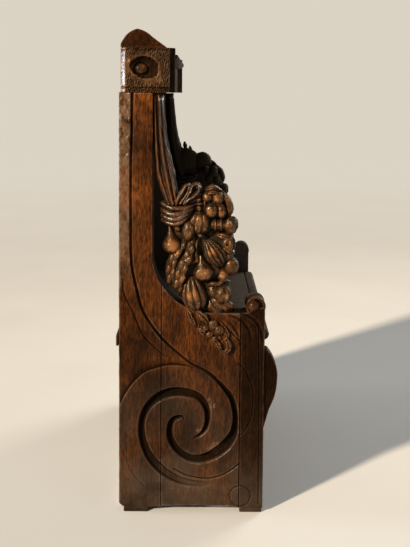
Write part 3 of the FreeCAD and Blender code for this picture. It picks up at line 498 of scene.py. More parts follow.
def mark_relief(mesh, added, strength=4.0):
    """Point attribute from the local curvature and an added term: + on proud edges (wear, with
    painted highlights), - in hollows (painted shade, with grime).
    """
    count = len(mesh.vertices)
    points, normals = vertex_rows(mesh, "co"), vertex_rows(mesh, "normal")
    edges = np.empty(len(mesh.edges) * 2, dtype=np.int64)
    mesh.edges.foreach_get("vertices", edges)
    first, second = edges.reshape(-1, 2).T
    number = np.maximum(np.bincount(np.r_[first, second], minlength=count), 1)

    def averaged(values):
        return (np.bincount(first, values[second], count)
                + np.bincount(second, values[first], count)) / number

    offset = np.stack([averaged(points[:, axis]) for axis in range(3)], 1) - points
    length = np.linalg.norm(points[first] - points[second], axis=1)
    averaged_length = (np.bincount(first, length, count)
                       + np.bincount(second, length, count)) / number
    bend = -(offset * normals).sum(1) / np.maximum(averaged_length, 1e-6)
    for _ in range(2):
        bend = (bend + averaged(bend)) / 2
    value = bend * strength + added(points)
    layer = mesh.attributes.new("relief", "FLOAT", "POINT")
    layer.data.foreach_set("value", np.clip(value, -1, 1).astype(np.float32))


CREVICE_CELL = 2.0
CREVICE_REACH = 3


def painted_crevice_shade(points):
    """Painted shade of each point of a carved garland: -0.95 deep in a crevice, 0.12 on top.

    The inner side, behind the middle of the end's thickness, gets painted shade all over.
    """
    depth, level = (REAR - points[:, 1]) / MM, points[:, 2] / MM
    out = (np.abs(points[:, 0]) - MIDDLE) / MM
    column = ((depth - depth.min()) / CREVICE_CELL).astype(int) + 2 * CREVICE_REACH
    row = ((level - level.min()) / CREVICE_CELL).astype(int) + 2 * CREVICE_REACH
    tops = np.full((column.max() + 4 * CREVICE_REACH, row.max() + 4 * CREVICE_REACH), -30.0)
    np.maximum.at(tops, (column, row), out)
    for _ in range(CREVICE_REACH):
        tops = np.max([tops, np.roll(tops, 1, 0), np.roll(tops, -1, 0), np.roll(tops, 1, 1),
                       np.roll(tops, -1, 1)], axis=0)
    for _ in range(CREVICE_REACH):
        tops = (tops + np.roll(tops, 1, 0) + np.roll(tops, -1, 0) + np.roll(tops, 1, 1)
                + np.roll(tops, -1, 1)) / 5
    below = tops[column, row] - out
    shade = -0.95 * ramp(below - 2.6, 7) + 0.12 * ramp(1.5 - below, 3)
    return np.where(out < 0, np.minimum(shade, -0.6), shade)


def fruit_shade_and_highlights(points):
    """Painted crevice shade of the bunch, and painted highlights on its outer side."""
    shade = painted_crevice_shade(points)
    depth, level = (REAR - points[:, 1]) / MM, points[:, 2] / MM
    for centre_depth, centre_height, reach in FRUIT_HIGHLIGHTS:
        far = np.hypot(depth - centre_depth, level - centre_height)
        shade = shade + 0.80 * np.exp(-(far / (0.72 * reach)) ** 2) * (
            points[:, 0] < -MIDDLE) * (shade > -0.3)
    return shade


# height and size of the uneven cuts that the gouge leaves, in millimetres
GOUGE_HEIGHT = 1.2
GOUGE_SIZE = 13


def hand_cut(mesh):
    """Uneven surface left by the gouge."""
    points = vertex_rows(mesh, "co")
    x, y, z = points.T / MM
    lumps = waves(y + 0.6 * x, z + 0.4 * x, 71, GOUGE_SIZE)
    lumps = lumps + 0.6 * waves(y - 0.5 * x, z, 72, GOUGE_SIZE / 2.5)
    points = points + vertex_rows(mesh, "normal") * (lumps * GOUGE_HEIGHT * MM)[:, None]
    points[:, 0] = np.clip(points[:, 0], -MIDDLE - OUT_LIMIT * MM, -MIDDLE + OUT_LIMIT * MM)
    mesh.vertices.foreach_set("co", points.reshape(-1))
    mesh.update()


def mesh_piece(name, points, faces):
    """Smooth object from points in metres, with its faces pointing outwards."""
    mesh = bpy.data.meshes.new(name)
    mesh.from_pydata([tuple(p) for p in points], [], faces)
    work = bmesh.new()
    work.from_mesh(mesh)
    bmesh.ops.remove_doubles(work, verts=work.verts, dist=1e-6)
    bmesh.ops.recalc_face_normals(work, faces=work.faces)
    work.to_mesh(mesh)
    work.free()
    mesh.shade_smooth()
    return new_object(name, mesh)


def join_pieces(name, parts):
    """One object from several."""
    deselect()
    for part in parts:
        part.select_set(True)
    bpy.context.view_layer.objects.active = parts[0]
    if len(parts) > 1:
        bpy.ops.object.join()
    parts[0].name = name
    parts[0].data.name = name
    return parts[0]


def mirror(mesh):
    """Turn a left-hand mesh into a right-hand one."""
    mesh.transform(Matrix.Scale(-1, 4, (1, 0, 0)))
    mesh.flip_normals()


def mirror_copy(piece, name):
    """Right-hand copy of a left-hand piece, with its own mesh."""
    twin = new_object(name, piece.data.copy())
    twin.data.name = name
    mirror(twin.data)
    return twin


OUT_LIMIT = (CAD_BOX[1].x - MIDDLE) / MM - 0.3
OUT_EASE = 8


def place(depth, height, out):
    """Point of the left end, out in millimetres from the middle of its thickness."""
    over = out - (OUT_LIMIT - OUT_EASE)
    if over > 0:
        out = OUT_LIMIT - OUT_EASE + OUT_EASE * math.tanh(over / OUT_EASE)
    return Vector((-(MIDDLE + out * MM), REAR - depth * MM, height * MM))


def smooth_track(points, steps):
    """Catmull-Rom curve through given points."""
    array = np.array(points, float)
    padded = np.vstack([2 * array[0] - array[1], array, 2 * array[-1] - array[-2]])
    rows = []
    for index in range(len(array) - 1):
        a, b, c, d = padded[index:index + 4]
        for step in range(steps):
            t = step / steps
            rows.append(0.5 * (2 * b + (c - a) * t + (2 * a - 5 * b + 4 * c - d) * t * t
                               + (3 * b - a - 3 * c + d) * t ** 3))
    rows.append(array[-1])
    return np.array(rows)


def tube_faces(rows, around):
    """Quads between the neighbouring rings of a tube."""
    return [(row * around + step, row * around + (step + 1) % around,
             (row + 1) * around + (step + 1) % around, (row + 1) * around + step)
            for row in range(rows) for step in range(around)]


def ramp(value, width):
    """Rise from 0 to 1 while value goes from 0 to width."""
    return np.clip(value / width, 0, 1)


def waves(u, z, seed, scale):
    """Cheap smooth noise between -1 and 1."""
    rng = np.random.default_rng(seed)
    total = np.zeros_like(u, float)
    for octave in range(5):
        angle = rng.uniform(0, 2 * math.pi)
        phase = rng.uniform(0, 2 * math.pi, 2)
        rate = (0.7 + 0.45 * octave) / scale
        total += np.sin((u * math.cos(angle) + z * math.sin(angle)) * rate * 6.28 + phase[0]
                        + 1.3 * np.sin((z * math.cos(angle) - u * math.sin(angle)) * rate * 3.7
                                       + phase[1]))
    return total / 5


# ---------------------------------------------------------------------------
# Carved boards of the end
# ---------------------------------------------------------------------------

def track_distance(u, z, points):
    """Distance to a smooth line, share along it, and side (+ to its left)."""
    line = smooth_track(points, 6)
    best = np.full(u.shape, 1e9)
    share = np.zeros(u.shape)
    side = np.ones(u.shape)
    count = len(line) - 1
    for index in range(count):
        ax, az = line[index]
        dx, dz = line[index + 1] - line[index]
        t = np.clip(((u - ax) * dx + (z - az) * dz) / (dx * dx + dz * dz), 0, 1)
        px, pz = u - ax - t * dx, z - az - t * dz
        distance = np.hypot(px, pz)
        nearer = distance < best
        best = np.where(nearer, distance, best)
        share = np.where(nearer, (index + t) / count, share)
        side = np.where(nearer, np.sign(dx * pz - dz * px + 1e-9), side)
    return best, share, side


def cut_groove(u, z, points, width, depth, power=2.0, soft=None):
    """Depth of a gouged groove whose width and depth may vary along it."""
    distance, share, _ = track_distance(u, z, points)
    marks = np.linspace(0, 1, len(points))
    half = np.interp(share, marks, width) / 2 if np.ndim(width) else width / 2
    deep = np.interp(share, marks, depth) if np.ndim(depth) else depth
    if soft:
        wall = np.clip((half - distance) / soft, 0, 1)
        return -deep * wall * wall * (3 - 2 * wall) * (1 - 0.12 * (distance / half) ** 2)
    return -deep * np.clip(1 - (distance / half) ** power, 0, 1)


# line, width, depth and shape of the grooves beside the scroll
FINE_GROOVES = [(POST_GROOVE, 9, 7, 1.6), (REAR_LINE, 6, 3, 1.2), (LOWER_LINE, 6, 3.2, 1.2),
                (GHOST_LINE, 5, 1.4, 1.2), (ARM_LINE, 5, 3, 1.2), (STILE_ARC, 5, 2.2, 1.2),
                (STILE_BEAD, 3.5, 2.5, 1.2)]
SCROLL_WALL = 6.0


def end_relief(u, z):
    """Height of the carving on the end's outer face, in millimetres."""
    height = np.zeros_like(u)
    for groove in FINE_GROOVES:
        height = np.minimum(height, cut_groove(u, z, *groove))
    for line, width, depth in ((OUTER_SCROLL, OUTER_SCROLL_WIDTH, OUTER_SCROLL_DEPTH),
                               (INNER_SCROLL, INNER_SCROLL_WIDTH, INNER_SCROLL_DEPTH)):
        height = np.minimum(height, cut_groove(u, z, line, width, depth, soft=SCROLL_WALL))
    distance, share, side = track_distance(u, z, SCROLL_RIM)
    ends = np.clip(share * 8, 0, 1) * np.clip((1 - share) * 8, 0, 1)
    sunk = -7.5 * np.exp(-distance / 16) * (side > 0) * np.clip(distance / 2.5, 0, 1)
    height = np.minimum(height, sunk * (0.35 + 0.65 * ends))
    ring = np.abs(np.hypot(u - ROUNDEL_CENTRE[0], z - ROUNDEL_CENTRE[1]) - ROUNDEL_RADIUS)
    height = np.minimum(height, -2.2 * np.clip(1 - ring / 3.5, 0, 1))
    field = ramp(u - 108, 10) * ramp(z - 330 - 0.55 * (300 - u), 30)
    height = height + 0.75 * field * waves(u, z, 41, 4.5)
    leaf = ramp(u - 250, 30) * ramp(z - 420, 30)
    pillow = 2.8 * leaf
    for line in LEAF_CUTS:
        pillow = np.minimum(pillow, leaf * (2.8 + cut_groove(u, z, line, 10, 4, 1.3)))
    return height + pillow + 0.5 * waves(u, z * 0.25, 3, 40) + 0.25 * waves(u, z * 0.5, 4, 12)


def post_front(z):
    """Front edge of the back plank at a height."""
    low = ARM + SWEEP_RADIUS
    centre = POST_WIDTH + SWEEP_RADIUS
    fall = np.clip(low - z, 0, SWEEP_RADIUS)
    sweep = centre - np.sqrt(np.maximum(SWEEP_RADIUS ** 2 - fall ** 2, 0))
    return np.where(z > low, POST_WIDTH + 0.0 * z, np.minimum(sweep, BACK_WIDTH))


def arm_top(u):
    """Top edge of the middle plank at a depth."""
    centre = POST_WIDTH + SWEEP_RADIUS
    ahead = np.clip(centre - u, 0, SWEEP_RADIUS)
    return ARM + SWEEP_RADIUS - np.sqrt(SWEEP_RADIUS ** 2 - ahead ** 2)


def worn_bottom(u):
    """Eroded lower edge of the planks."""
    rise = 5.0 * ramp(u - 70, 40) * ramp(296 - u, 20)
    corner = 11 * ramp(20 - u, 20) ** 2
    return FOOT + rise + corner + 1.1 * np.abs(waves(u, u * 0.3, 8, 14))


# depth of the loops behind a board's carved face, in metres
EDGE_BACK = 0.008
# how much sharper the arris is where two boards meet
JOINT_CRISPNESS = 2.6


def carved_board(name, first, last, low, high, relief, rounding, grid,
                 left=None, right=None, bottom=None, top=None, face=FACE, inner=INNER,
                 joints="", gaps="", worn=None):
    """Board between two depths and two heights, carved on its outer face.

    joints names the sides ("left", "right") that meet another board and stay crisp;
    gaps names the sides where the joint has opened and is dark.
    """
    columns = max(int((last - first) * MM / grid), 4)
    rows = max(int((high - low) * MM / grid), 4)
    s, t = np.meshgrid(np.linspace(0, 1, columns + 1), np.linspace(0, 1, rows + 1))
    plain_u = first + s * (last - first)
    base = bottom(plain_u) if bottom else np.full_like(plain_u, low)
    crown = top(plain_u) if top else np.full_like(plain_u, high)
    z = base + t * (crown - base)
    start = left(z) if left else np.full_like(z, first)
    stop = right(z) if right else np.full_like(z, last)
    u = start + s * (stop - start)
    crisp = {side: JOINT_CRISPNESS if side in joints else 1 for side in ("left", "right")}
    edge = np.minimum(np.minimum((u - start) * crisp["left"], (stop - u) * crisp["right"]),
                      np.minimum(z - base, crown - z))
    short = np.clip(rounding - edge, 0, rounding)
    drop = rounding - np.sqrt(rounding ** 2 - short ** 2)
    height = relief(u, z) - drop
    front = np.stack([-(face + height * MM), REAR - u * MM, z * MM], -1).reshape(-1, 3)
    index = np.arange(front.shape[0]).reshape(rows + 1, columns + 1)
    loop = list(index[0, :]) + list(index[1:, -1]) + list(index[-1, -2::-1]) + list(
        index[-2:0:-1, 0])
    edges = []
    for x in (np.minimum(front[loop, 0] + EDGE_BACK, -inner - EDGE_BACK),
              -inner - EDGE_BACK / 2, -inner):
        edge_loop = front[loop]
        edge_loop[:, 0] = x
        edges.append(edge_loop)
    count = len(front)
    faces = [tuple(q) for q in np.stack([index[:-1, :-1], index[:-1, 1:], index[1:, 1:],
                                         index[1:, :-1]], -1).reshape(-1, 4)]
    size = len(loop)
    loops = [loop] + [list(range(count + ring * size, count + (ring + 1) * size))
                      for ring in range(len(edges))]
    for outer, next_in in zip(loops, loops[1:]):
        for step in range(size):
            following = (step + 1) % size
            faces.append((outer[step], outer[following], next_in[following], next_in[step]))
    faces.append(tuple(loops[-1]))
    piece = mesh_piece(name, np.vstack([front, *edges]), faces)
    activate(piece)
    bpy.ops.object.shade_smooth_by_angle(angle=math.radians(38))

    def shade_joints_and_wear(points):
        """Painted shade by depth on the face and on the board's sides, darker along the foot, dark
        open joints, lighter where worn.
        """
        depth, level = (REAR - points[:, 1]) / MM, points[:, 2] / MM
        sunk = np.clip((points[:, 0] + face) / MM - 1.5, 0, 12) / 12
        number = np.arange(len(points))
        on_face = number < count
        # painted shade: the face darkens with depth, and the side loops behind it darken most
        shade_and_joints = np.where(on_face, -0.85 * sunk, np.where(number < count + 2 * size, -2.5, -0.9))
        # darker along the foot
        shade_and_joints = shade_and_joints - 0.5 * ramp(FOOT + 9 - level, 9)
        open_joint = 0.75 + 0.5 * waves(level, depth, 17, 35)
        for side, limit in (("left", left(level) if left else first),
                            ("right", right(level) if right else last)):
            if side in gaps:
                shade_and_joints = shade_and_joints - 2.2 * open_joint * np.clip(1 - np.abs(depth - limit) / 2.4, 0, 1)
        # worn adds the given wear and painted light on the face
        return shade_and_joints + (worn(depth, level) * on_face if worn else 0)

    mark_relief(piece.data, shade_joints_and_wear)
    mark_inner_dust_and_light(piece.data, -inner - 0.001)
    return piece


def both_ends(piece, stem, material, node, dull_material="inner_oak"):
    """Dress a left-hand piece, mirror it, and hide the CAD nodes of both."""
    twin = mirror_copy(piece, "right_" + stem)
    for side, item in (("left_", piece), ("right_", twin)):
        dress(item, material, "root", dull_material)
        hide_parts(side + node)
    return piece, twin


class STALL_OT_end_planks(bpy.types.Operator):
    """Carve the planks of both ends"""
    bl_idname = "stall.end_planks"
    bl_label = "End planks"

    def execute(self, context):
        sizes = context.scene.stall_sizes
        grid, rounding = sizes.grid, sizes.edge / MM
        back = carved_board("left_carved_back_plank", 0, BACK_WIDTH, FOOT, POST_TOP, post_relief,
                            rounding, grid, left=rough_rear, right=post_front,
                            bottom=worn_bottom, joints="right", gaps="right", worn=post_wear_and_light)
        both_ends(back, "carved_back_plank", "end_oak", "back_plank")
        middle = carved_board("left_carved_middle_plank", BACK_WIDTH, STILE_BACK, FOOT,
                              ARM, end_relief, rounding, grid, bottom=worn_bottom, top=arm_top,
                              joints="left", gaps="left right", worn=scroll_glints)
        both_ends(middle, "carved_middle_plank", "end_oak", "middle_plank")
        return {"FINISHED"}


def rough_rear(z):
    """Worn rear edge."""
    return 0.7 + 0.6 * waves(z, z * 0.1, 12, 60)


def post_wear_and_light(u, z):
    """Pale strip of the post (wear with a painted highlight), darker below it, and the painted
    glints of the scroll.
    """
    strip = ramp(32 - u, 5) * ramp(z - 560, 160)
    patches = 0.5 + 0.5 * waves(u, z * 0.7, 61, 55) + 0.5 * waves(u, z, 62, 13)
    low = ramp(580 - z, 60) * ramp(z - 330, 60)
    low = low * ramp(80 - u, 20)
    return strip * np.clip(0.3 + patches, 0, 1.2) * 1.2 + scroll_glints(u, z) - 0.25 * low


SCROLL_CENTRE = (172, 218)
# painted glints on the scroll, as depth, height and reach
SCROLL_GLINTS = [(232, 276, 9), (226, 290, 6), (198, 212, 6), (243, 172, 12), (228, 160, 9)]


def scroll_glints(u, z):
    """Painted glints on the lower right of the scroll, and a darker band around it."""
    ahead, above = u - SCROLL_CENTRE[0], z - SCROLL_CENTRE[1]
    far = np.hypot(ahead, above)
    turn = np.degrees(np.arctan2(above, ahead))
    right = np.clip(1 - np.abs(turn + 38) / 40, 0, 1) * np.clip(1 - np.abs(far - 98) / 26, 0, 1)
    low = np.clip(1 - np.abs(turn + 88) / 50, 0, 1) * np.clip(1 - np.abs(far - 158) / 14, 0, 1)
    broken = np.clip(0.35 + 0.9 * waves(u, z, 63, 22), 0, 1)
    # painted glints: bands on the lower right of the scroll and the listed spots are lightened
    worn = (0.9 * right + 0.45 * low) * broken
    for centre_depth, centre_height, reach in SCROLL_GLINTS:
        near = np.exp(-(np.hypot(u - centre_depth, z - centre_height) / reach) ** 2)
        worn = worn + 2.0 * near * np.clip(0.4 + waves(u, z, 64, 7), 0, 1)
    darker = ramp(430 - z, 60) * ramp(z - 120, 60)
    return worn - 0.20 * darker


def post_relief(u, z):
    """End relief, with the lumpy rear strip and the reeded band of the post."""
    high = ramp(z - 600, 60)
    strip = ramp(30 - u, 4) * high
    lumps = strip * (2.0 * waves(u, z * 0.8, 21, 26) - 1.2)
    lumps *= np.clip((z - 780) / 120, 0.3, 1)
    knot = np.hypot((u - 16) / 9, (z - 985) / 25)
    lumps += strip * (1.5 * np.exp(-((knot - 1) / 0.22) ** 2) - 3 * np.exp(-(knot / 0.5) ** 2))
    band = ramp(u - 37, 5) * ramp(POST_WIDTH - 4 - u, 5) * high
    crown = band * (1.6 + 0.5 * np.cos((u - 57) / 40 * math.pi * 3))
    return end_relief(u, z) + lumps + crown


def stile_top(u):
    """Top of the stile, rising into the rolled volute."""
    lift = ramp(u - 308, 26)
    return ARM + 1.5 * ramp(u - STILE_BACK, 20) + 14 * lift ** 2


class STALL_OT_front_stiles(bpy.types.Operator):
    """Front stiles with leaf carving and rolled volutes"""
    bl_idname = "stall.front_stiles"
    bl_label = "Front stiles"

    def execute(self, context):
        sizes = context.scene.stall_sizes
        stile = carved_board("left_carved_front_stile", STILE_BACK, END_DEPTH, FOOT, ARM,
                             end_relief, sizes.edge / MM, sizes.grid, top=stile_top,
                             gaps="left")
        roll = volute_roll()
        piece = join_pieces("left_carved_front_stile", [stile, roll])
        both_ends(piece, "carved_front_stile", "shaded_stile_oak", "front_stile",
                  "inner_stile_dust_and_light")
        return {"FINISHED"}


ROLL_DEPTH, ROLL_HEIGHT = 337, 526
BALL_DEPTH, BALL_HEIGHT, BALL_RADIUS = 331, 528, 14
# (distance out from the middle of the end's thickness, radius), inner side first
ROLL_PROFILE = [(-27.5, 0), (-27.5, 18), (-26.5, 23), (-23, 24.6), (0, 22.5), (22, 24.4),
                (27, 24.2), (29, 21.5), (28, 18.6), (23, 16.8), (20, 14), (20, 0)]


def lathe(name, profile, centre_depth, centre_height, steps=48):
    """Turned form on an axis across the end."""
    points = []
    rows = smooth_track(profile, 4)
    for out, radius in rows:
        spin = max(radius, 0)
        for step in range(steps):
            angle = 2 * math.pi * step / steps
            points.append(place(centre_depth + spin * math.cos(angle),
                                centre_height + spin * math.sin(angle), out))
    return mesh_piece(name, points, tube_faces(len(rows) - 1, steps))


def volute_roll():
    """Rolled end of the arm with the ball in its eye."""
    roll = lathe("volute_roll", ROLL_PROFILE, ROLL_DEPTH, ROLL_HEIGHT)
    ball = fruit("volute_ball", (BALL_DEPTH, BALL_HEIGHT, 26), BALL_RADIUS, BALL_RADIUS)
    piece = join_pieces("volute_roll", [roll, ball])
    # painted light: the outer part of the roll and its ball are marked proud, which lightens them
    mark_relief(piece.data, lambda points: 0.45 * (points[:, 0] < -MIDDLE - 0.012))
    mark_inner_dust_and_light(piece.data, -INNER - 0.009)
    return piece


# rear, front, foot and top of the block, and its bevels, in the end's millimetres
BLOCK_REAR, BLOCK_FRONT = (REAR - BLOCK_HIGH.y) / MM, (REAR - BLOCK_LOW.y) / MM
BLOCK_FOOT, BLOCK_TOP = BLOCK_LOW.z / MM, BLOCK_HIGH.z / MM
REAR_BEVEL, FRONT_BEVEL = 13, 12
PATERA_DEPTH, PATERA_HEIGHT = 62, 1108


def boss_reach(u, z):
    """Distance from the middle of the patera's boss; 1 at its rim."""
    return np.hypot((u - 55) / 15.5, (z - 1105) / 13.5)


def block_relief(u, z):
    """Cornice block: bevelled ends, oval patera on a chip-carved ground."""
    bevels = np.clip(BLOCK_REAR + REAR_BEVEL - u, 0, REAR_BEVEL)
    bevels = bevels + np.clip(u - BLOCK_FRONT + FRONT_BEVEL, 0, FRONT_BEVEL)
    ahead, above = u - PATERA_DEPTH, z - PATERA_HEIGHT
    oval = np.hypot(ahead / 39 - 0.12 * (above / 31) ** 2, (above + 0.10 * ahead) / 30)
    oval = oval + 0.05 * waves(u, z, 35, 24)
    ring = 1.5 * np.exp(-((oval - 1.0) / 0.09) ** 2)
    dish = -12 * np.clip(1 - (oval / 0.9) ** 3, 0, 1) ** 0.6
    ball = boss_reach(u, z)
    lid = 4.0 * np.exp(-((ball - 1.38) / 0.20) ** 2) * ramp(-ahead, 14)
    boss = 10.5 * np.sqrt(np.clip(1 - ball ** 2, 0, 1))
    chips = np.clip((oval - 1.12) * 4, 0, 1) * 3.4 * waves(u, z, 31, 6)
    band = -3.0 * ramp(BLOCK_FOOT + 15 - z, 3) + 3.0 * ramp(BLOCK_FOOT + 11 - z, 3)
    lip = -1.8 * np.exp(-((z - BLOCK_TOP + 6) / 2.0) ** 2)
    flat = ramp(u - BLOCK_REAR - REAR_BEVEL, 4) * ramp(BLOCK_FRONT - FRONT_BEVEL - u, 4)
    carving = flat * (ring + (dish + lid) + boss + chips)
    return -bevels - 3.5 + carving + band + lip + 0.3 * waves(u, z, 32, 30)


def block_painted_light(u, z):
    """Painted reflection on the rear bevel, painted shade on the front bevel and in the patera's
    dish, painted highlight on its boss, darker rims.
    """
    # painted reflection on the rear bevel
    bright = ramp(BLOCK_REAR + 12 - u, 2) * (1.05 + 0.5 * waves(u, z, 34, 20))
    # painted shade on the front bevel
    dark = -1.0 * ramp(u - BLOCK_FRONT + FRONT_BEVEL, 2)
    oval = np.hypot((u - PATERA_DEPTH) / 36, (z - PATERA_HEIGHT) / 28)
    ball = boss_reach(u, z)
    # painted shade in the dish, and a painted highlight on the boss
    dish = -0.75 * np.clip((1 - oval) * 5, 0, 1) * np.clip((ball - 0.75) * 4, 0, 1)
    glint = 0.25 * np.clip((0.8 - ball) * 3, 0, 1)
    rims = -0.45 * ramp(BLOCK_FOOT + 13 - z, 3) - 0.6 * ramp(z - BLOCK_TOP + 5, 3)
    return bright + dark + dish + glint + rims * (bright < 0.5)


class STALL_OT_cornice_blocks(bpy.types.Operator):
    """Cornice blocks with their oval pateras"""
    bl_idname = "stall.cornice_blocks"
    bl_label = "Cornice blocks"

    def execute(self, context):
        sizes = context.scene.stall_sizes
        block = carved_board(
            "left_carved_block", BLOCK_REAR, BLOCK_FRONT, BLOCK_FOOT, BLOCK_TOP, block_relief,
            2.0, sizes.grid * 0.6,
            face=-BLOCK_LOW.x, inner=INNER, worn=block_painted_light)
        both_ends(block, "carved_block", "block_oak", "cornice_block")
        return {"FINISHED"}


# ---------------------------------------------------------------------------
# Plain joinery: eased copies of the frame's own solids
# ---------------------------------------------------------------------------

def bevel_arrises(piece, width, segments, bevel_angle, smooth_angle, marked):
    """Bevel the arrises, smooth the flatter ones, and mark faces narrower than marked."""
    bevel = piece.modifiers.new("Arris", "BEVEL")
    bevel.width = width
    bevel.segments = segments
    bevel.limit_method = "ANGLE"
    bevel.angle_limit = math.radians(bevel_angle)
    activate(piece)
    bpy.ops.object.modifier_apply(modifier="Arris")
    bpy.ops.object.shade_smooth_by_angle(angle=math.radians(smooth_angle))
    mark_arrises(piece.data, marked)


def eased_copy(node, material, width, segments=2, body="root"):
    """Copy of a CAD solid with softened arrises."""
    piece = new_object("eased_" + node, bpy.data.objects[node].data.copy())
    work = bmesh.new()
    work.from_mesh(piece.data)
    bmesh.ops.remove_doubles(work, verts=work.verts, dist=2e-5)
    bmesh.ops.dissolve_limit(work, angle_limit=math.radians(1), verts=work.verts,
                             edges=work.edges)
    work.to_mesh(piece.data)
    work.free()
    bevel_arrises(piece, width, segments, 35, 30, width * 0.9)
    dress(piece, material, body)
    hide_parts(node)


# material, finish slot and the nodes that get the material
JOINERY = [
    ("frame_oak", "frame_oak", ["left_back_stile", "right_back_stile", "back_upper_muntin",
                                "back_lower_muntin"]),
    ("rail_oak", "frame_oak", ["back_top_rail", "back_seat_rail", "back_bottom_rail",
                               "back_batten", "floor_rail", "left_seat_bearer",
                               "right_seat_bearer"]),
    ("crest_oak", "end_oak", ["crest_rail", "cornice_frieze", "cornice_moulding"]),
    ("shaded_stile_oak", "end_oak", ["left_console", "right_console", "left_back_foot",
                              "right_back_foot", "left_front_foot", "right_front_foot"]),
]
SEAT_PLAIN = ["left_seat_cleat", "right_seat_cleat", "misericord"]
SEAT_BOARDS = ["seat_rear_board", "seat_front_board"]


class STALL_OT_joinery(bpy.types.Operator):
    """Ease the arrises of the back frame, cornice, feet and consoles"""
    bl_idname = "stall.joinery"
    bl_label = "Plain joinery"

    def execute(self, context):
        width = context.scene.stall_sizes.eased
        for material, slot, nodes in JOINERY:
            for node in nodes:
                eased_copy(node, material, width)
        return {"FINISHED"}


class STALL_OT_seat(bpy.types.Operator):
    """Ease the seat's boards, cleats and misericord"""
    bl_idname = "stall.seat"
    bl_label = "Seat"

    def execute(self, context):
        width = context.scene.stall_sizes.eased
        for node in SEAT_BOARDS:
            eased_copy(node, "seat_oak", width, body="seat")
        for node in SEAT_PLAIN:
            eased_copy(node, "rail_oak", width * 1.4, segments=3, body="seat")
        return {"FINISHED"}


PANELS = ["back_upper_panel_left", "back_upper_panel_right", "back_lower_panel_left",
          "back_lower_panel_right"]
PLATE_THICK = 0.008
FIELD_MARGIN = 0.030
FIELD_SLOPE = 0.014
FIELD_BORDER = 0.004


def fielded_panel(node):
    """Raised and fielded panel, shaped from a cube by inset and slide."""
    low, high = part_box(node)
    centre, span = (low + high) / 2, high - low
    deselect()
    bpy.ops.mesh.primitive_cube_add(size=1, location=centre)
    piece = bpy.context.object
    piece.name = "fielded_" + node
    piece.data.name = piece.name
    piece.scale = (span.x, PLATE_THICK, span.z)
    bpy.ops.object.transform_apply(location=True, rotation=True, scale=True)
    for direction in (-1, 1):
        bpy.ops.object.mode_set(mode="EDIT")
        bpy.ops.mesh.select_mode(type="FACE")
        bpy.ops.mesh.select_all(action="DESELECT")
        bpy.ops.object.mode_set(mode="OBJECT")
        for face in piece.data.polygons:
            face.select = face.normal.y * direction > 0.9
        bpy.ops.object.mode_set(mode="EDIT")
        bpy.ops.mesh.inset(thickness=FIELD_MARGIN)
        bpy.ops.mesh.inset(thickness=FIELD_SLOPE)
        rise = (span.y - PLATE_THICK) / 2 * direction
        bpy.ops.transform.translate(value=(0, rise, 0))
        bpy.ops.mesh.inset(thickness=FIELD_BORDER)
        bpy.ops.object.mode_set(mode="OBJECT")
    bevel_arrises(piece, 0.0012, 2, 8, 20, 0.0011)
    dress(piece, "frame_oak", "root")
    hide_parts(node)


class STALL_OT_back_panels(bpy.types.Operator):
    """Raised and fielded panels of the back"""
    bl_idname = "stall.back_panels"
    bl_label = "Back panels"

    def execute(self, context):
        for node in PANELS:
            fielded_panel(node)
        return {"FINISHED"}


# ---------------------------------------------------------------------------
# Garland: cloth, fruit and leaves, in the end's own coordinates
# ---------------------------------------------------------------------------

def swept(name, points, widths, thicknesses=None, crease=0.0, ribs=0, rib_depth=0.0,
          lobes=0, lobe_depth=0.0, steps=6, around=28):
    """Closed form swept along points (depth, height, out), wide across, thin outwards.

    crease sinks a line down the outer side; ribs run along it; lobes scallop its edge.
    """
    thicknesses = thicknesses or widths
    line = smooth_track(points, steps)
    marks = np.linspace(0, 1, len(points))
    share = np.linspace(0, 1, len(line))
    wide = np.interp(share, marks, widths)
    thick = np.interp(share, marks, thicknesses)
    if lobes:
        wide = wide * (1 - lobe_depth * (0.5 + 0.5 * np.cos(share * lobes * 2 * math.pi)))
    tangent = np.gradient(line, axis=0)
    tangent /= np.maximum(np.linalg.norm(tangent, axis=1, keepdims=True), 1e-6)
    outward = np.array([0, 0, 1.0])
    outward = outward - tangent * (tangent @ outward)[:, None]
    outward /= np.maximum(np.linalg.norm(outward, axis=1, keepdims=True), 1e-6)
    across = np.cross(tangent, outward)
    angle = np.linspace(0, 2 * math.pi, around, endpoint=False)
    ring = np.stack([np.cos(angle), np.sin(angle)], 1)
    ridge = 2 * np.abs(np.cos(angle * ribs / 2)) ** 3 - 1
    swell = 1 + rib_depth * ridge if ribs else np.ones_like(angle)
    sink = 1 - crease * np.exp(-((angle - math.pi / 2) / 0.35) ** 2)
    spots = []
    for row, centre in enumerate(line):
        for side, lift in ring * (swell * sink)[:, None]:
            spot = centre + across[row] * side * wide[row] + outward[row] * lift * thick[row]
            spots.append(place(*spot))
    rows = len(line)
    faces = tube_faces(rows - 1, around)
    for row in (0, rows - 1):
        tip = len(spots)
        spots.append(place(*line[row]))
        for step in range(around):
            faces.append((row * around + step, row * around + (step + 1) % around, tip))
    return mesh_piece(name, spots, faces)


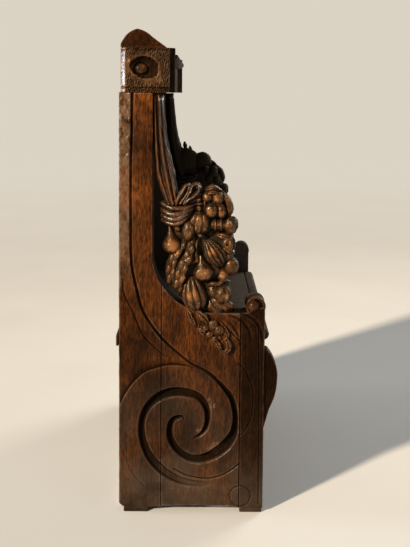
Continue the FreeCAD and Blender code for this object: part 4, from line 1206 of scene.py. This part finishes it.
def fruit(name, centre, radius, height, outwards=None, axis=(0, 1, 0), ribs=0, rib_depth=0.0,
          neck=0.0, dimple=0.0, point=0.0, crease=0.0, rows=24, around=36):
    """Round carved fruit; its axis (depth, height, out) points to the stalk.

    neck draws the top out like a pear, dimple sinks both ends, point sharpens the foot.
    """
    outwards = outwards or radius
    around = max(around, 8 * ribs)
    axis = np.array(axis, float)
    axis /= np.linalg.norm(axis)
    helper = np.array([0, 0, 1.0]) if abs(axis[2]) < 0.8 else np.array([1.0, 0, 0])
    across = np.cross(axis, helper)
    across /= np.linalg.norm(across)
    outward = np.cross(across, axis)
    centre = np.array(centre, float)
    points = []
    for row in range(rows + 1):
        polar = math.pi * row / rows
        ring = math.sin(polar)
        level = math.cos(polar)
        if neck and level > 0:
            taper = min(level / 0.85, 1)
            ring *= 1 - 0.80 * neck * taper * taper * (3 - 2 * taper)
            level *= 1 + 1.1 * neck * level
        if dimple:
            level -= dimple * math.copysign(1, level) * math.exp(-(ring / 0.30) ** 2)
        if point and level < 0:
            ring *= 1 - point * level * level
        for step in range(around):
            turn = 2 * math.pi * step / around
            wave = 1.0
            if ribs:
                wave -= rib_depth * (1 - abs(math.cos(turn * ribs / 2))) ** 1.5
            if crease:
                wave -= crease * math.exp(-((turn - math.pi * 0.42) / 0.16) ** 2)
            spot = (centre + axis * level * height
                    + across * math.cos(turn) * ring * wave * radius
                    + outward * math.sin(turn) * ring * wave * outwards)
            points.append(place(*spot))
    return mesh_piece(name, points, tube_faces(rows, around))


# name, centre (depth, height, out), half width, half height, options
FRUITS = [
    ("pear", (130, 679, 12), 24, 25, dict(neck=0.80, axis=(-0.14, 1, 0), dimple=0.06)),
    ("pear_calyx", (134, 655, 13), 6, 6, dict(rows=10, around=12)),
    ("knot_bud", (144, 719, 16), 9, 9, dict(rows=12, around=20)),
    ("almond", (171, 713, 27), 16, 25, dict(point=0.25, ribs=6, rib_depth=0.14,
                                             axis=(0.16, 1, 0), outwards=14)),
    ("gourd", (199, 731, 19), 28, 29, dict(ribs=7, rib_depth=0.26, dimple=0.12,
                                           axis=(0.1, 1, 0.15), outwards=25)),
    ("gourd_calyx", (200, 702, 26), 8, 6, dict(ribs=4, rib_depth=0.3, rows=10, around=20)),
    ("bud_high", (196, 788, 21), 8.5, 8.5, dict(ribs=4, rib_depth=0.15, rows=12, around=20)),
    ("bud_low", (197, 768, 25), 8.5, 9, dict(ribs=4, rib_depth=0.15, rows=12, around=20)),
    ("plum_rear", (216, 795, 19), 14, 14, dict(crease=0.10)),
    ("plum_high", (241, 792, 17), 16, 17, dict(crease=0.10, dimple=0.06)),
    ("plum_low", (226, 764, 25), 16.5, 19, dict(crease=0.10, dimple=0.08, axis=(0.1, 1, -0.1))),
    ("plum_front", (250, 761, 20), 13, 18, dict(crease=0.10, dimple=0.08)),
    ("plum_between", (238, 779, 10), 18, 16, {}),
    ("spout", (242, 728, 20), 13, 24, dict(axis=(1, 0.02, -0.05), ribs=8, rib_depth=0.10)),
    ("spout_ring", (236, 728, 22), 15, 4.5, dict(axis=(1, 0.02, 0), rows=12)),
    ("spout_lip", (250, 728, 19), 16, 5, dict(axis=(1, 0.02, 0), rows=12)),
    ("rose", (273, 724, 10), 19, 25, dict(ribs=5, rib_depth=0.14, dimple=0.15,
                                          axis=(0.25, 0.9, 0.3), outwards=21)),
    ("fig", (236, 655, 18), 27, 34, dict(axis=(-0.5, 0.86, 0.05), ribs=12, rib_depth=0.34,
                                         neck=0.22, point=0.1, outwards=25)),
    ("rosette", (266, 677, 12), 20, 26, dict(axis=(0.2, 1, 0.2), ribs=6, rib_depth=0.38)),
    ("dark_fruit", (276, 624, 8), 19, 22, dict(crease=0.12, dimple=0.10, outwards=19)),
    ("small_fruit", (256, 601, 12), 17, 15, dict(crease=0.10, point=0.3, axis=(-0.8, 0.5, 0))),
    ("lower_pear", (208, 612, 22), 26, 24, dict(neck=0.72, axis=(-0.20, 1, 0), dimple=0.08,
                                                outwards=23)),
    ("apple", (256, 555, 18), 22, 25, dict(dimple=0.12, crease=0.22, axis=(0.1, 1, 0.15))),
    ("apple_lobe", (232, 562, 16), 16, 19, dict(crease=0.12)),
    ("melon", (187, 551, 16), 33, 42, dict(ribs=9, rib_depth=0.32, neck=0.16,
                                           axis=(-0.20, 1, 0), outwards=28, around=54)),
]

# name, points (depth, height, out), half widths, half thicknesses, options
LEAVES = [
    ("leaf_cap", [(206, 808, 12), (227, 819, 18), (250, 811, 12)], [3, 8, 3], [5, 15, 5],
     dict(crease=0.3)),
    ("leaf_lip", [(204, 800, 16), (228, 808, 22), (254, 802, 13)], [2, 6, 2], [4, 14, 5],
     dict(crease=0.3)),
    ("leaf_shell", [(246, 810, 4), (264, 790, 10), (272, 765, 12), (268, 745, 8)],
     [4, 9, 9, 4], [8, 16, 16, 8], dict(crease=0.25)),
    ("calyx_low", [(188, 778, 24), (200, 779, 29), (210, 778, 24)], [2, 3.5, 2],
     [3, 5, 3], {}),
    ("calyx_side", [(208, 798, 20), (210, 778, 26), (208, 758, 22)], [2, 3.5, 2],
     [3, 5, 3], {}),
    ("calyx_foot", [(186, 757, 20), (198, 757, 27), (210, 758, 22)], [2, 3.5, 2],
     [3, 5, 3], {}),
    ("twig_rear", [(196, 702, 14), (190, 668, 18), (193, 636, 20)], [7, 6, 10], [6, 6, 9],
     dict(ribs=4, rib_depth=0.1)),
    ("twig_front", [(208, 700, 14), (214, 665, 14), (222, 630, 12)], [6, 7, 6],
     [6, 8, 6], dict(crease=0.2)),
    ("twig_pod", [(180, 700, 14), (184, 670, 14), (182, 630, 14)], [7, 9, 8], [7, 8, 8], {}),
    ("leaf_rose_low", [(238, 702, 18), (256, 700, 24), (278, 696, 14)], [4, 8, 4],
     [4, 9, 5], dict(crease=0.35)),
    ("leaf_rosette_a", [(252, 694, 16), (268, 688, 24), (284, 674, 12)], [4, 9, 4],
     [4, 6, 4], dict(crease=0.4)),
    ("leaf_rosette_b", [(252, 676, 18), (266, 668, 26), (282, 654, 12)], [4, 9, 4],
     [4, 6, 4], dict(crease=0.4)),
    ("leaf_rosette_c", [(258, 662, 18), (266, 648, 20), (270, 632, 12)], [4, 8, 3],
     [4, 6, 4], dict(crease=0.4)),
    ("leaf_over_apple", [(214, 572, 18), (228, 583, 26), (244, 582, 26), (256, 590, 22),
                         (272, 584, 10)], [3, 5, 5, 5, 3], [4, 7, 7, 7, 4],
     dict(crease=0.3)),
    ("leaf_low_rear", [(222, 552, 10), (233, 534, 22), (247, 518, 22), (266, 508, 8)],
     [6, 20, 20, 5], [5, 9, 9, 3], dict(crease=0.5, lobes=4, lobe_depth=0.25, steps=10)),
    ("leaf_low_front", [(250, 542, 18), (264, 528, 22), (276, 514, 12), (280, 508, 4)],
     [6, 16, 14, 4], [5, 8, 7, 3], dict(crease=0.5, lobes=3, lobe_depth=0.2)),
    ("leaf_low_under", [(214, 534, 10), (228, 518, 16), (246, 505, 10)],
     [4, 10, 4], [4, 8, 4], dict(crease=0.4)),
    ("leaf_behind_pear", [(232, 640, 6), (236, 612, 10), (232, 585, 6)], [8, 16, 8],
     [6, 12, 6], dict(lobes=3, lobe_depth=0.2)),
]

# painted highlights of the bunch, as depth, height and reach
FRUIT_HIGHLIGHTS = [(136, 672, 21), (124, 690, 8), (206, 606, 17), (196, 738, 12), (184, 722, 7),
            (222, 760, 10), (251, 757, 8), (262, 552, 10), (178, 556, 16), (226, 664, 14),
            (168, 706, 9), (240, 729, 9), (262, 728, 9), (240, 794, 9), (214, 796, 7),
            (138, 612, 9), (158, 596, 9), (256, 601, 8)]

# name, points (depth, height, out), half widths of a husk that is full of seeds
PODS = [
    ("pod_rear", [(168, 696, 14), (152, 668, 14), (137, 646, 13), (129, 619, 12),
                  (131, 590, 10), (144, 560, 4)], [6, 10, 12, 13, 12, 5]),
    ("pod_front", [(178, 690, 18), (173, 655, 21), (160, 627, 22), (152, 602, 20),
                   (148, 577, 15), (153, 550, 6)], [7, 11, 14, 14, 12, 5]),
]
SEED_STEP = 12.5
SEED_RADIUS = 9.2

# cloth that hangs from the block and is tied in a knot: name, points (depth, height, out),
# half widths and half thicknesses
FOLDS = [
    ("fold_rear", [(86, 1046, 6), (91, 933, 9), (98, 855, 11), (115, 800, 14), (124, 776, 16)],
     [5.5, 6.5, 8, 7, 7], [12, 14, 15, 14, 14]),
    ("fold_crease", [(91, 1046, 1), (97, 933, 4), (106, 855, 7), (121, 800, 12),
                     (129, 776, 14)], [5, 6, 7, 6, 6], [12, 12, 13, 13, 13]),
    ("fold_middle", [(96, 1046, 7), (103, 933, 11), (115, 855, 15), (127, 800, 17),
                     (133, 776, 17)], [5, 6, 7.5, 6.5, 6], [12, 14, 15, 14, 14]),
    ("fold_front", [(101, 1046, 0), (111, 933, 4), (126, 855, 9), (137, 800, 13),
                    (140, 776, 14)], [5.5, 7, 9, 7, 6], [12, 13, 14, 14, 13]),
    ("fold_thin", [(99, 1046, 9), (108, 940, 13), (118, 870, 17), (128, 815, 19)],
     [2, 2.6, 3, 2.4], [5, 6, 6, 5]),
    ("fold_inner", [(94, 1046, -12), (101, 933, -11), (112, 855, -10), (126, 800, -8),
                    (136, 776, -6)], [11, 14, 18, 17, 18], [9, 9, 10, 11, 12]),
]
EARS = [
    ("ear_rear_rim", [(140, 776, 22), (145, 792, 27), (154, 808, 29), (163, 822, 26),
                      (171, 823, 22), (169, 811, 25), (161, 796, 27), (150, 779, 26)],
     [4.5, 5, 5, 5, 5, 4.5, 4.5, 4.5], [7, 8, 8, 8, 8, 7, 7, 7]),
    ("ear_rear_web", [(147, 782, 14), (156, 802, 15), (166, 819, 14)], [8, 10, 6], [6, 7, 6]),
    ("ear_rear_fold", [(149, 786, 20), (157, 802, 22), (165, 816, 20)], [1.8, 2.4, 1.8],
     [6, 7, 5]),
    ("ear_front_rim", [(161, 777, 24), (168, 788, 28), (182, 797, 29), (194, 809, 26),
                       (196, 820, 22), (188, 827, 21), (179, 821, 24), (174, 808, 27),
                       (166, 793, 28), (158, 779, 26)],
     [5, 5.5, 5.5, 5.5, 5.5, 5.5, 5, 5, 4.5, 4.5], [7, 8, 8, 8, 8, 8, 8, 8, 7, 7]),
    ("ear_front_web", [(166, 786, 13), (180, 804, 13), (188, 818, 12)], [8, 12, 7], [6, 7, 6]),
    ("ear_front_tail", [(172, 780, 18), (186, 789, 21), (198, 800, 15)], [4, 5, 4], [7, 8, 6]),
]
WRAPS = [
    ("wrap_1", [(104, 779, -10), (109, 777, 14), (128, 769, 27), (146, 768, 31), (167, 771, 30),
                (188, 778, 16)], [4.2, 4.6, 5.2, 5.2, 4.8, 3.5]),
    ("wrap_2", [(105, 763, -10), (110, 761, 15), (126, 755, 28), (143, 754, 33), (164, 761, 31),
                (186, 769, 16)], [5, 5.6, 6, 6, 5.6, 3.5]),
    ("wrap_3", [(105, 749, -10), (110, 747, 14), (126, 742, 27), (143, 743, 31), (161, 752, 30),
                (182, 763, 16)], [5, 5.6, 6, 6, 5.6, 3.5]),
    ("wrap_4", [(107, 737, -10), (112, 735, 13), (128, 730, 24), (145, 731, 28), (161, 741, 27),
                (179, 755, 15)], [4.6, 5, 5.6, 5.6, 5, 3.5]),
]


class STALL_OT_drapery(bpy.types.Operator):
    """Hanging cloth with its knot, both sides"""
    bl_idname = "stall.drapery"
    bl_label = "Drapery"

    def execute(self, context):
        parts = [swept(row[0], row[1], row[2], row[3], ribs=4, rib_depth=0.11, around=32)
                 for row in FOLDS + EARS]
        parts += [swept(name, points, radii, [r * 1.3 for r in radii], ribs=2, rib_depth=0.05,
                        around=24)
                  for name, points, radii in WRAPS]
        parts += [swept(name + "_inner", [(d, h, -min(o, 24) - 1) for d, h, o in points], radii,
                        around=20)
                  for name, points, radii in WRAPS]
        parts.append(fruit("knot_core", (144, 754, 0), 34, 24, outwards=24))
        parts.append(fruit("ear_ground", (166, 788, -3), 22, 24, outwards=13))
        piece = join_pieces("left_drapery_carving", parts)
        hand_cut(piece.data)
        mark_relief(piece.data, painted_crevice_shade, strength=3.2)
        both_ends(piece, "drapery_carving", "lit_cloth_carving", "drapery")
        return {"FINISHED"}


# the ground that the fruit is cut out of: centre (depth, height), half sizes
BUNCH_GROUND = [((152, 704), 22, 22), ((147, 723), 24, 17), ((205, 752), 40, 44),
                ((232, 748), 38, 50), ((190, 690), 44, 52), ((244, 690), 38, 52),
                ((178, 610), 40, 62), ((222, 620), 50, 60), ((262, 625), 24, 34),
                ((232, 556), 44, 46), ((192, 560), 32, 52)]


# leaves and a round fruit on top of the right-hand bunch only; a leaf is the depth and
# height of its tip, then of its root
CROWN_LEAVES = [(94, 862, 116, 800), (104, 882, 126, 806), (124, 890, 140, 806),
                (144, 886, 154, 806), (162, 872, 168, 800)]
CROWN_FRUIT = ((203, 819, 6), 32, 33)


def pod(name, points, widths):
    """Husk with two staggered rows of seeds that stand proud of it."""
    parts = [swept(name, points, widths, ribs=3, rib_depth=0.12)]
    line = smooth_track(points, 8)
    run = np.r_[0, np.cumsum(np.linalg.norm(np.diff(line, axis=0), axis=1))]
    marks = np.linspace(0, run[-1], len(points))
    for number, along in enumerate(np.arange(SEED_STEP, run[-1] - SEED_STEP, SEED_STEP)):
        spot = np.array([np.interp(along, run, line[:, axis]) for axis in range(3)])
        wide = np.interp(along, marks, widths)
        spot[0] += (0.42 if number % 2 else -0.42) * wide
        spot[2] += 0.60 * wide
        radius = min(SEED_RADIUS, 0.72 * wide)
        parts.append(fruit(name + "_seed", spot, radius * 0.85, radius * 1.55, rows=12, around=18,
                           axis=(0.3, 1, 0)))
    return parts


def crown():
    """Serrated leaves and fruit that crown the right-hand bunch."""
    parts = [swept("crown_leaf", [(root, foot, 8), ((root + tip) / 2, (foot + top) / 2, 16),
                                  (tip, top, 6)], [9, 15, 4], [6, 9, 3],
                   crease=0.4, lobes=4, lobe_depth=0.35, steps=10)
             for tip, top, root, foot in CROWN_LEAVES]
    centre, wide, tall = CROWN_FRUIT
    parts.append(fruit("crown_fruit", centre, wide, tall, outwards=24, crease=0.1))
    parts.append(fruit("crown_ground", (150, 820, 0), 46, 44, outwards=18))
    return parts


class STALL_OT_fruit(bpy.types.Operator):
    """Bunch of fruit and leaves, both sides"""
    bl_idname = "stall.fruit"
    bl_label = "Fruit bunch"

    def execute(self, context):
        parts = [fruit(name, centre, radius, height, **options)
                 for name, centre, radius, height, options in FRUITS]
        parts += [swept(name, points, wide, thick, **options)
                  for name, points, wide, thick, options in LEAVES]
        for row in PODS:
            parts += pod(*row)
        parts += [fruit("ground", (depth, height, -4), wide, tall, outwards=19)
                  for (depth, height), wide, tall in BUNCH_GROUND]
        parts += [fruit("inner_" + name, (c[0], c[1], -min(c[2], 12) - 1), r * 0.92, h * 0.92,
                        **{**options, "outwards": min(options.get("outwards", r), 15)})
                  for name, c, r, h, options in FRUITS if r > 12]
        piece = join_pieces("left_fruit_carving", parts)
        hand_cut(piece.data)
        mark_relief(piece.data, fruit_shade_and_highlights, strength=1.7)
        twin = both_ends(piece, "fruit_carving", "carving", "fruit_bunch")[1]
        top = join_pieces("right_fruit_crown", crown())
        hand_cut(top.data)
        mark_relief(top.data, painted_crevice_shade, strength=1.7)
        mirror(top.data)
        dress(top, "carving", "root")
        join_pieces(twin.name, [twin, top])
        return {"FINISHED"}


# leaf spray below the bunch; out is counted from the end's outer face
TAIL_OUT = 27.5
LOBED = dict(crease=0.6, lobes=3, lobe_depth=0.3, steps=10)
TAIL = [
    ("tail_leaf_rear", [(172, 514, 1), (177, 500, 4), (184, 486, 4), (190, 474, 1)],
     [4, 9, 7, 2], [3, 5, 4, 2], LOBED),
    ("tail_leaf", [(190, 514, 2), (204, 506, 6), (214, 496, 6), (222, 484, 2)],
     [4, 11, 10, 2], [4, 7, 6, 2], LOBED),
    ("tail_leaf_low", [(196, 480, 1), (205, 468, 4), (212, 456, 3), (222, 450, 1)],
     [3, 9, 7, 2], [3, 5, 4, 2], LOBED),
    ("tail_leaf_front", [(256, 478, 1), (264, 466, 4), (268, 452, 4), (266, 440, 1)],
     [3, 8, 7, 2], [3, 5, 4, 2], LOBED),
    ("tail_curl", [(262, 448, 3), (270, 436, 6), (270, 422, 7), (262, 413, 5), (252, 418, 2)],
     [5, 8, 7, 5, 2], [4, 7, 7, 5, 2], dict(crease=0.5)),
    ("tail_curl_inner", [(234, 448, 2), (242, 438, 5), (248, 426, 5), (256, 414, 2)],
     [4, 8, 7, 2], [3, 6, 5, 2], LOBED),
    ("tail_twig", [(204, 496, 2), (222, 478, 3), (238, 462, 3), (250, 446, 2)],
     [5, 6, 6, 4], [4, 5, 5, 4], {}),
]
# centre (depth, height, out) and radius
BERRIES = [((233, 483, 6), 11), ((248, 469, 6), 11.5), ((203, 468, 4), 7), ((224, 458, 5), 8.5),
           ((236, 446, 4), 7.5), ((214, 474, 4), 7)]


class STALL_OT_tail(bpy.types.Operator):
    """Leaf spray and berries under the bunch, both sides"""
    bl_idname = "stall.tail"
    bl_label = "Garland tail"

    def execute(self, context):
        parts = [swept(name, [(d, h, o + TAIL_OUT) for d, h, o in points], wide, thick, **options)
                 for name, points, wide, thick, options in TAIL]
        parts += [fruit("tail_berry", (c[0], c[1], c[2] + TAIL_OUT), r, r, rows=14, around=20,
                        crease=0.12) for c, r in BERRIES]
        piece = join_pieces("left_tail_carving", parts)
        hand_cut(piece.data)
        mark_relief(piece.data, painted_crevice_shade, strength=4.2)
        both_ends(piece, "tail_carving", "leaf_oak", "garland_tail")
        return {"FINISHED"}


# ---------------------------------------------------------------------------
# Nodes shown as they are, stage and camera
# ---------------------------------------------------------------------------

class STALL_OT_small_parts(bpy.types.Operator):
    """Finish of the pegs, dowels and pins that stay as they are"""
    bl_idname = "stall.small_parts"
    bl_label = "Pegs, dowels and pins"

    def execute(self, context):
        finishes = {"plank_dowels": "frame_oak", "frame_pegs": "end_oak",
                    "pivot_pin": "pin_iron"}
        for side in ("left_", "right_"):
            for stem, material in finishes.items():
                node = bpy.data.objects[side + stem]
                for slot in node.material_slots:
                    slot.material = MATERIALS[material]
        return {"FINISHED"}


CAMERA_PLACE = (-2.5, -0.007, 1.0476)
# yaw, pitch and roll in radians
CAMERA_TURN = (-0.0044, -0.0849, 0.008)
CAMERA_LENS = 57.04
CAMERA_SHIFT = -0.195


def aim(name, data, direction, power, colour):
    """Lamp object that shines along a direction."""
    data.energy = power
    data.color = colour
    lamp = new_object(name, data)
    lamp.rotation_euler = direction.to_track_quat("-Z", "Y").to_euler()
    return lamp


def area_lamp(name, position, target, size, power, colour, spread):
    """Square soft lamp; spread in degrees keeps its light off the floor beside it."""
    data = bpy.data.lights.new(name, "AREA")
    data.spread = math.radians(spread)
    data.shape = "SQUARE"
    data.size = size
    lamp = aim(name, data, Vector(target) - Vector(position), power, colour)
    lamp.location = position


def sun_lamp(name, source, strength, softness, colour):
    """Light from one direction, softness in degrees."""
    data = bpy.data.lights.new(name, "SUN")
    data.angle = math.radians(softness)
    aim(name, data, -Vector(source), strength, colour)


def backdrop_material(name, near, far):
    """Pale paper whose colour turns bluer far from the object: painted light that meets the world
    colour at the horizon.
    """
    material = bpy.data.materials.new(name)
    material.use_nodes = True
    tree = material.node_tree
    shader = tree.nodes["Principled BSDF"]
    place_node = add_node(tree, "ShaderNodeTexCoord").outputs["Object"]
    mottling = remap(tree, noise(tree, place_node, 1.6, 4.0), 0.3, 0.7)
    colour = mix_colours(tree, mottling, colour4(near), colour4([c * 0.95 for c in near]))
    away = add_node(tree, "ShaderNodeVectorMath", {0: place_node},
                    operation="LENGTH").outputs["Value"]
    # painted light: the far floor colour stands in for light that falls off
    colour = mix_colours(tree, remap(tree, away, 2.5, 9.0), colour, colour4(far))
    tree.links.new(colour, shader.inputs["Base Color"])
    shader.inputs["Roughness"].default_value = 0.9
    shader.inputs["Specular IOR Level"].default_value = 0.05
    return material


class STALL_OT_stage(bpy.types.Operator):
    """Pale floor, soft light and camera"""
    bl_idname = "stall.stage"
    bl_label = "Stage"

    def execute(self, context):
        scene = context.scene
        deselect()
        bpy.ops.mesh.primitive_grid_add(x_subdivisions=8, y_subdivisions=8, size=40)
        floor = context.object
        floor.name = "floor"
        floor.data.materials.append(backdrop_material(
            "Pale paper", (0.85, 0.835, 0.80), (0.846, 0.874, 0.883)))
        world = bpy.data.worlds.new("Room")
        world.use_nodes = True
        tree = world.node_tree
        tree.nodes.clear()
        seen = add_node(tree, "ShaderNodeLightPath").outputs["Is Camera Ray"]
        lit = add_node(tree, "ShaderNodeBackground", {"Color": (0.86, 0.94, 1.0, 1),
                                                      "Strength": 0.22})
        shown = add_node(tree, "ShaderNodeBackground", {"Color": (0.705, 0.652, 0.552, 1),
                                                        "Strength": 1.0})
        mixed = add_node(tree, "ShaderNodeMixShader", {
            0: seen, 1: lit.outputs[0], 2: shown.outputs[0]})
        add_node(tree, "ShaderNodeOutputWorld", {0: mixed.outputs[0]})
        scene.world = world
        sun_lamp("key", (-1.0, 1.05, 0.66), 5.0, 4.0, (1.0, 0.84, 0.64))
        area_lamp("window", (-0.2, 3.3, 1.25), (-0.3, 0, 1.1), 0.75, 6.2, (0.70, 0.85, 1.0), 50)
        area_lamp("fill", (3.4, -3.2, 2.6), (0, 0, 0.7), 2.4, 19, (1.0, 0.92, 0.82), 60)
        camera_data = bpy.data.cameras.new("camera")
        camera_data.lens = CAMERA_LENS
        camera_data.sensor_width = 36
        camera_data.shift_y = CAMERA_SHIFT
        camera = new_object("camera", camera_data)
        yaw, pitch, roll = CAMERA_TURN
        forward = Vector((math.cos(yaw) * math.cos(pitch), math.sin(yaw) * math.cos(pitch),
                          math.sin(pitch)))
        right = Vector((math.sin(yaw), -math.cos(yaw), 0))
        up = right.cross(forward)
        turned = right * math.cos(roll) + up * math.sin(roll)
        above = up * math.cos(roll) - right * math.sin(roll)
        basis = Matrix((turned, above, -forward)).transposed()
        camera.matrix_world = Matrix.Translation(CAMERA_PLACE) @ basis.to_4x4()
        scene.camera = camera
        scene.view_settings.view_transform = "Standard"
        return {"FINISHED"}


class STALL_PT_panel(bpy.types.Panel):
    """Lists the stall's pieces"""
    bl_idname = "STALL_PT_panel"
    bl_label = "Choir stall"
    bl_space_type = "VIEW_3D"
    bl_region_type = "UI"
    bl_category = "Stall"

    def draw(self, context):
        sizes = context.scene.stall_sizes
        for name in ("grid", "edge", "eased", "oak_light", "oak_dark", "dust"):
            self.layout.prop(sizes, name)
        for operator in OPERATORS:
            self.layout.operator(operator.bl_idname)


OPERATORS = (STALL_OT_end_planks, STALL_OT_front_stiles, STALL_OT_cornice_blocks,
             STALL_OT_joinery, STALL_OT_seat, STALL_OT_back_panels, STALL_OT_drapery,
             STALL_OT_fruit, STALL_OT_tail, STALL_OT_small_parts, STALL_OT_stage)


def register():
    for item in (StallSizes, *OPERATORS, STALL_PT_panel):
        bpy.utils.register_class(item)
    bpy.types.Scene.stall_sizes = bpy.props.PointerProperty(type=StallSizes)


def unregister():
    del bpy.types.Scene.stall_sizes
    for item in reversed((StallSizes, *OPERATORS, STALL_PT_panel)):
        bpy.utils.unregister_class(item)


def main():
    register()
    make_materials(bpy.context.scene.stall_sizes)
    for operator in OPERATORS:
        getattr(bpy.ops.stall, operator.bl_idname.split(".")[1])()


if __name__ == "__main__":
    main()
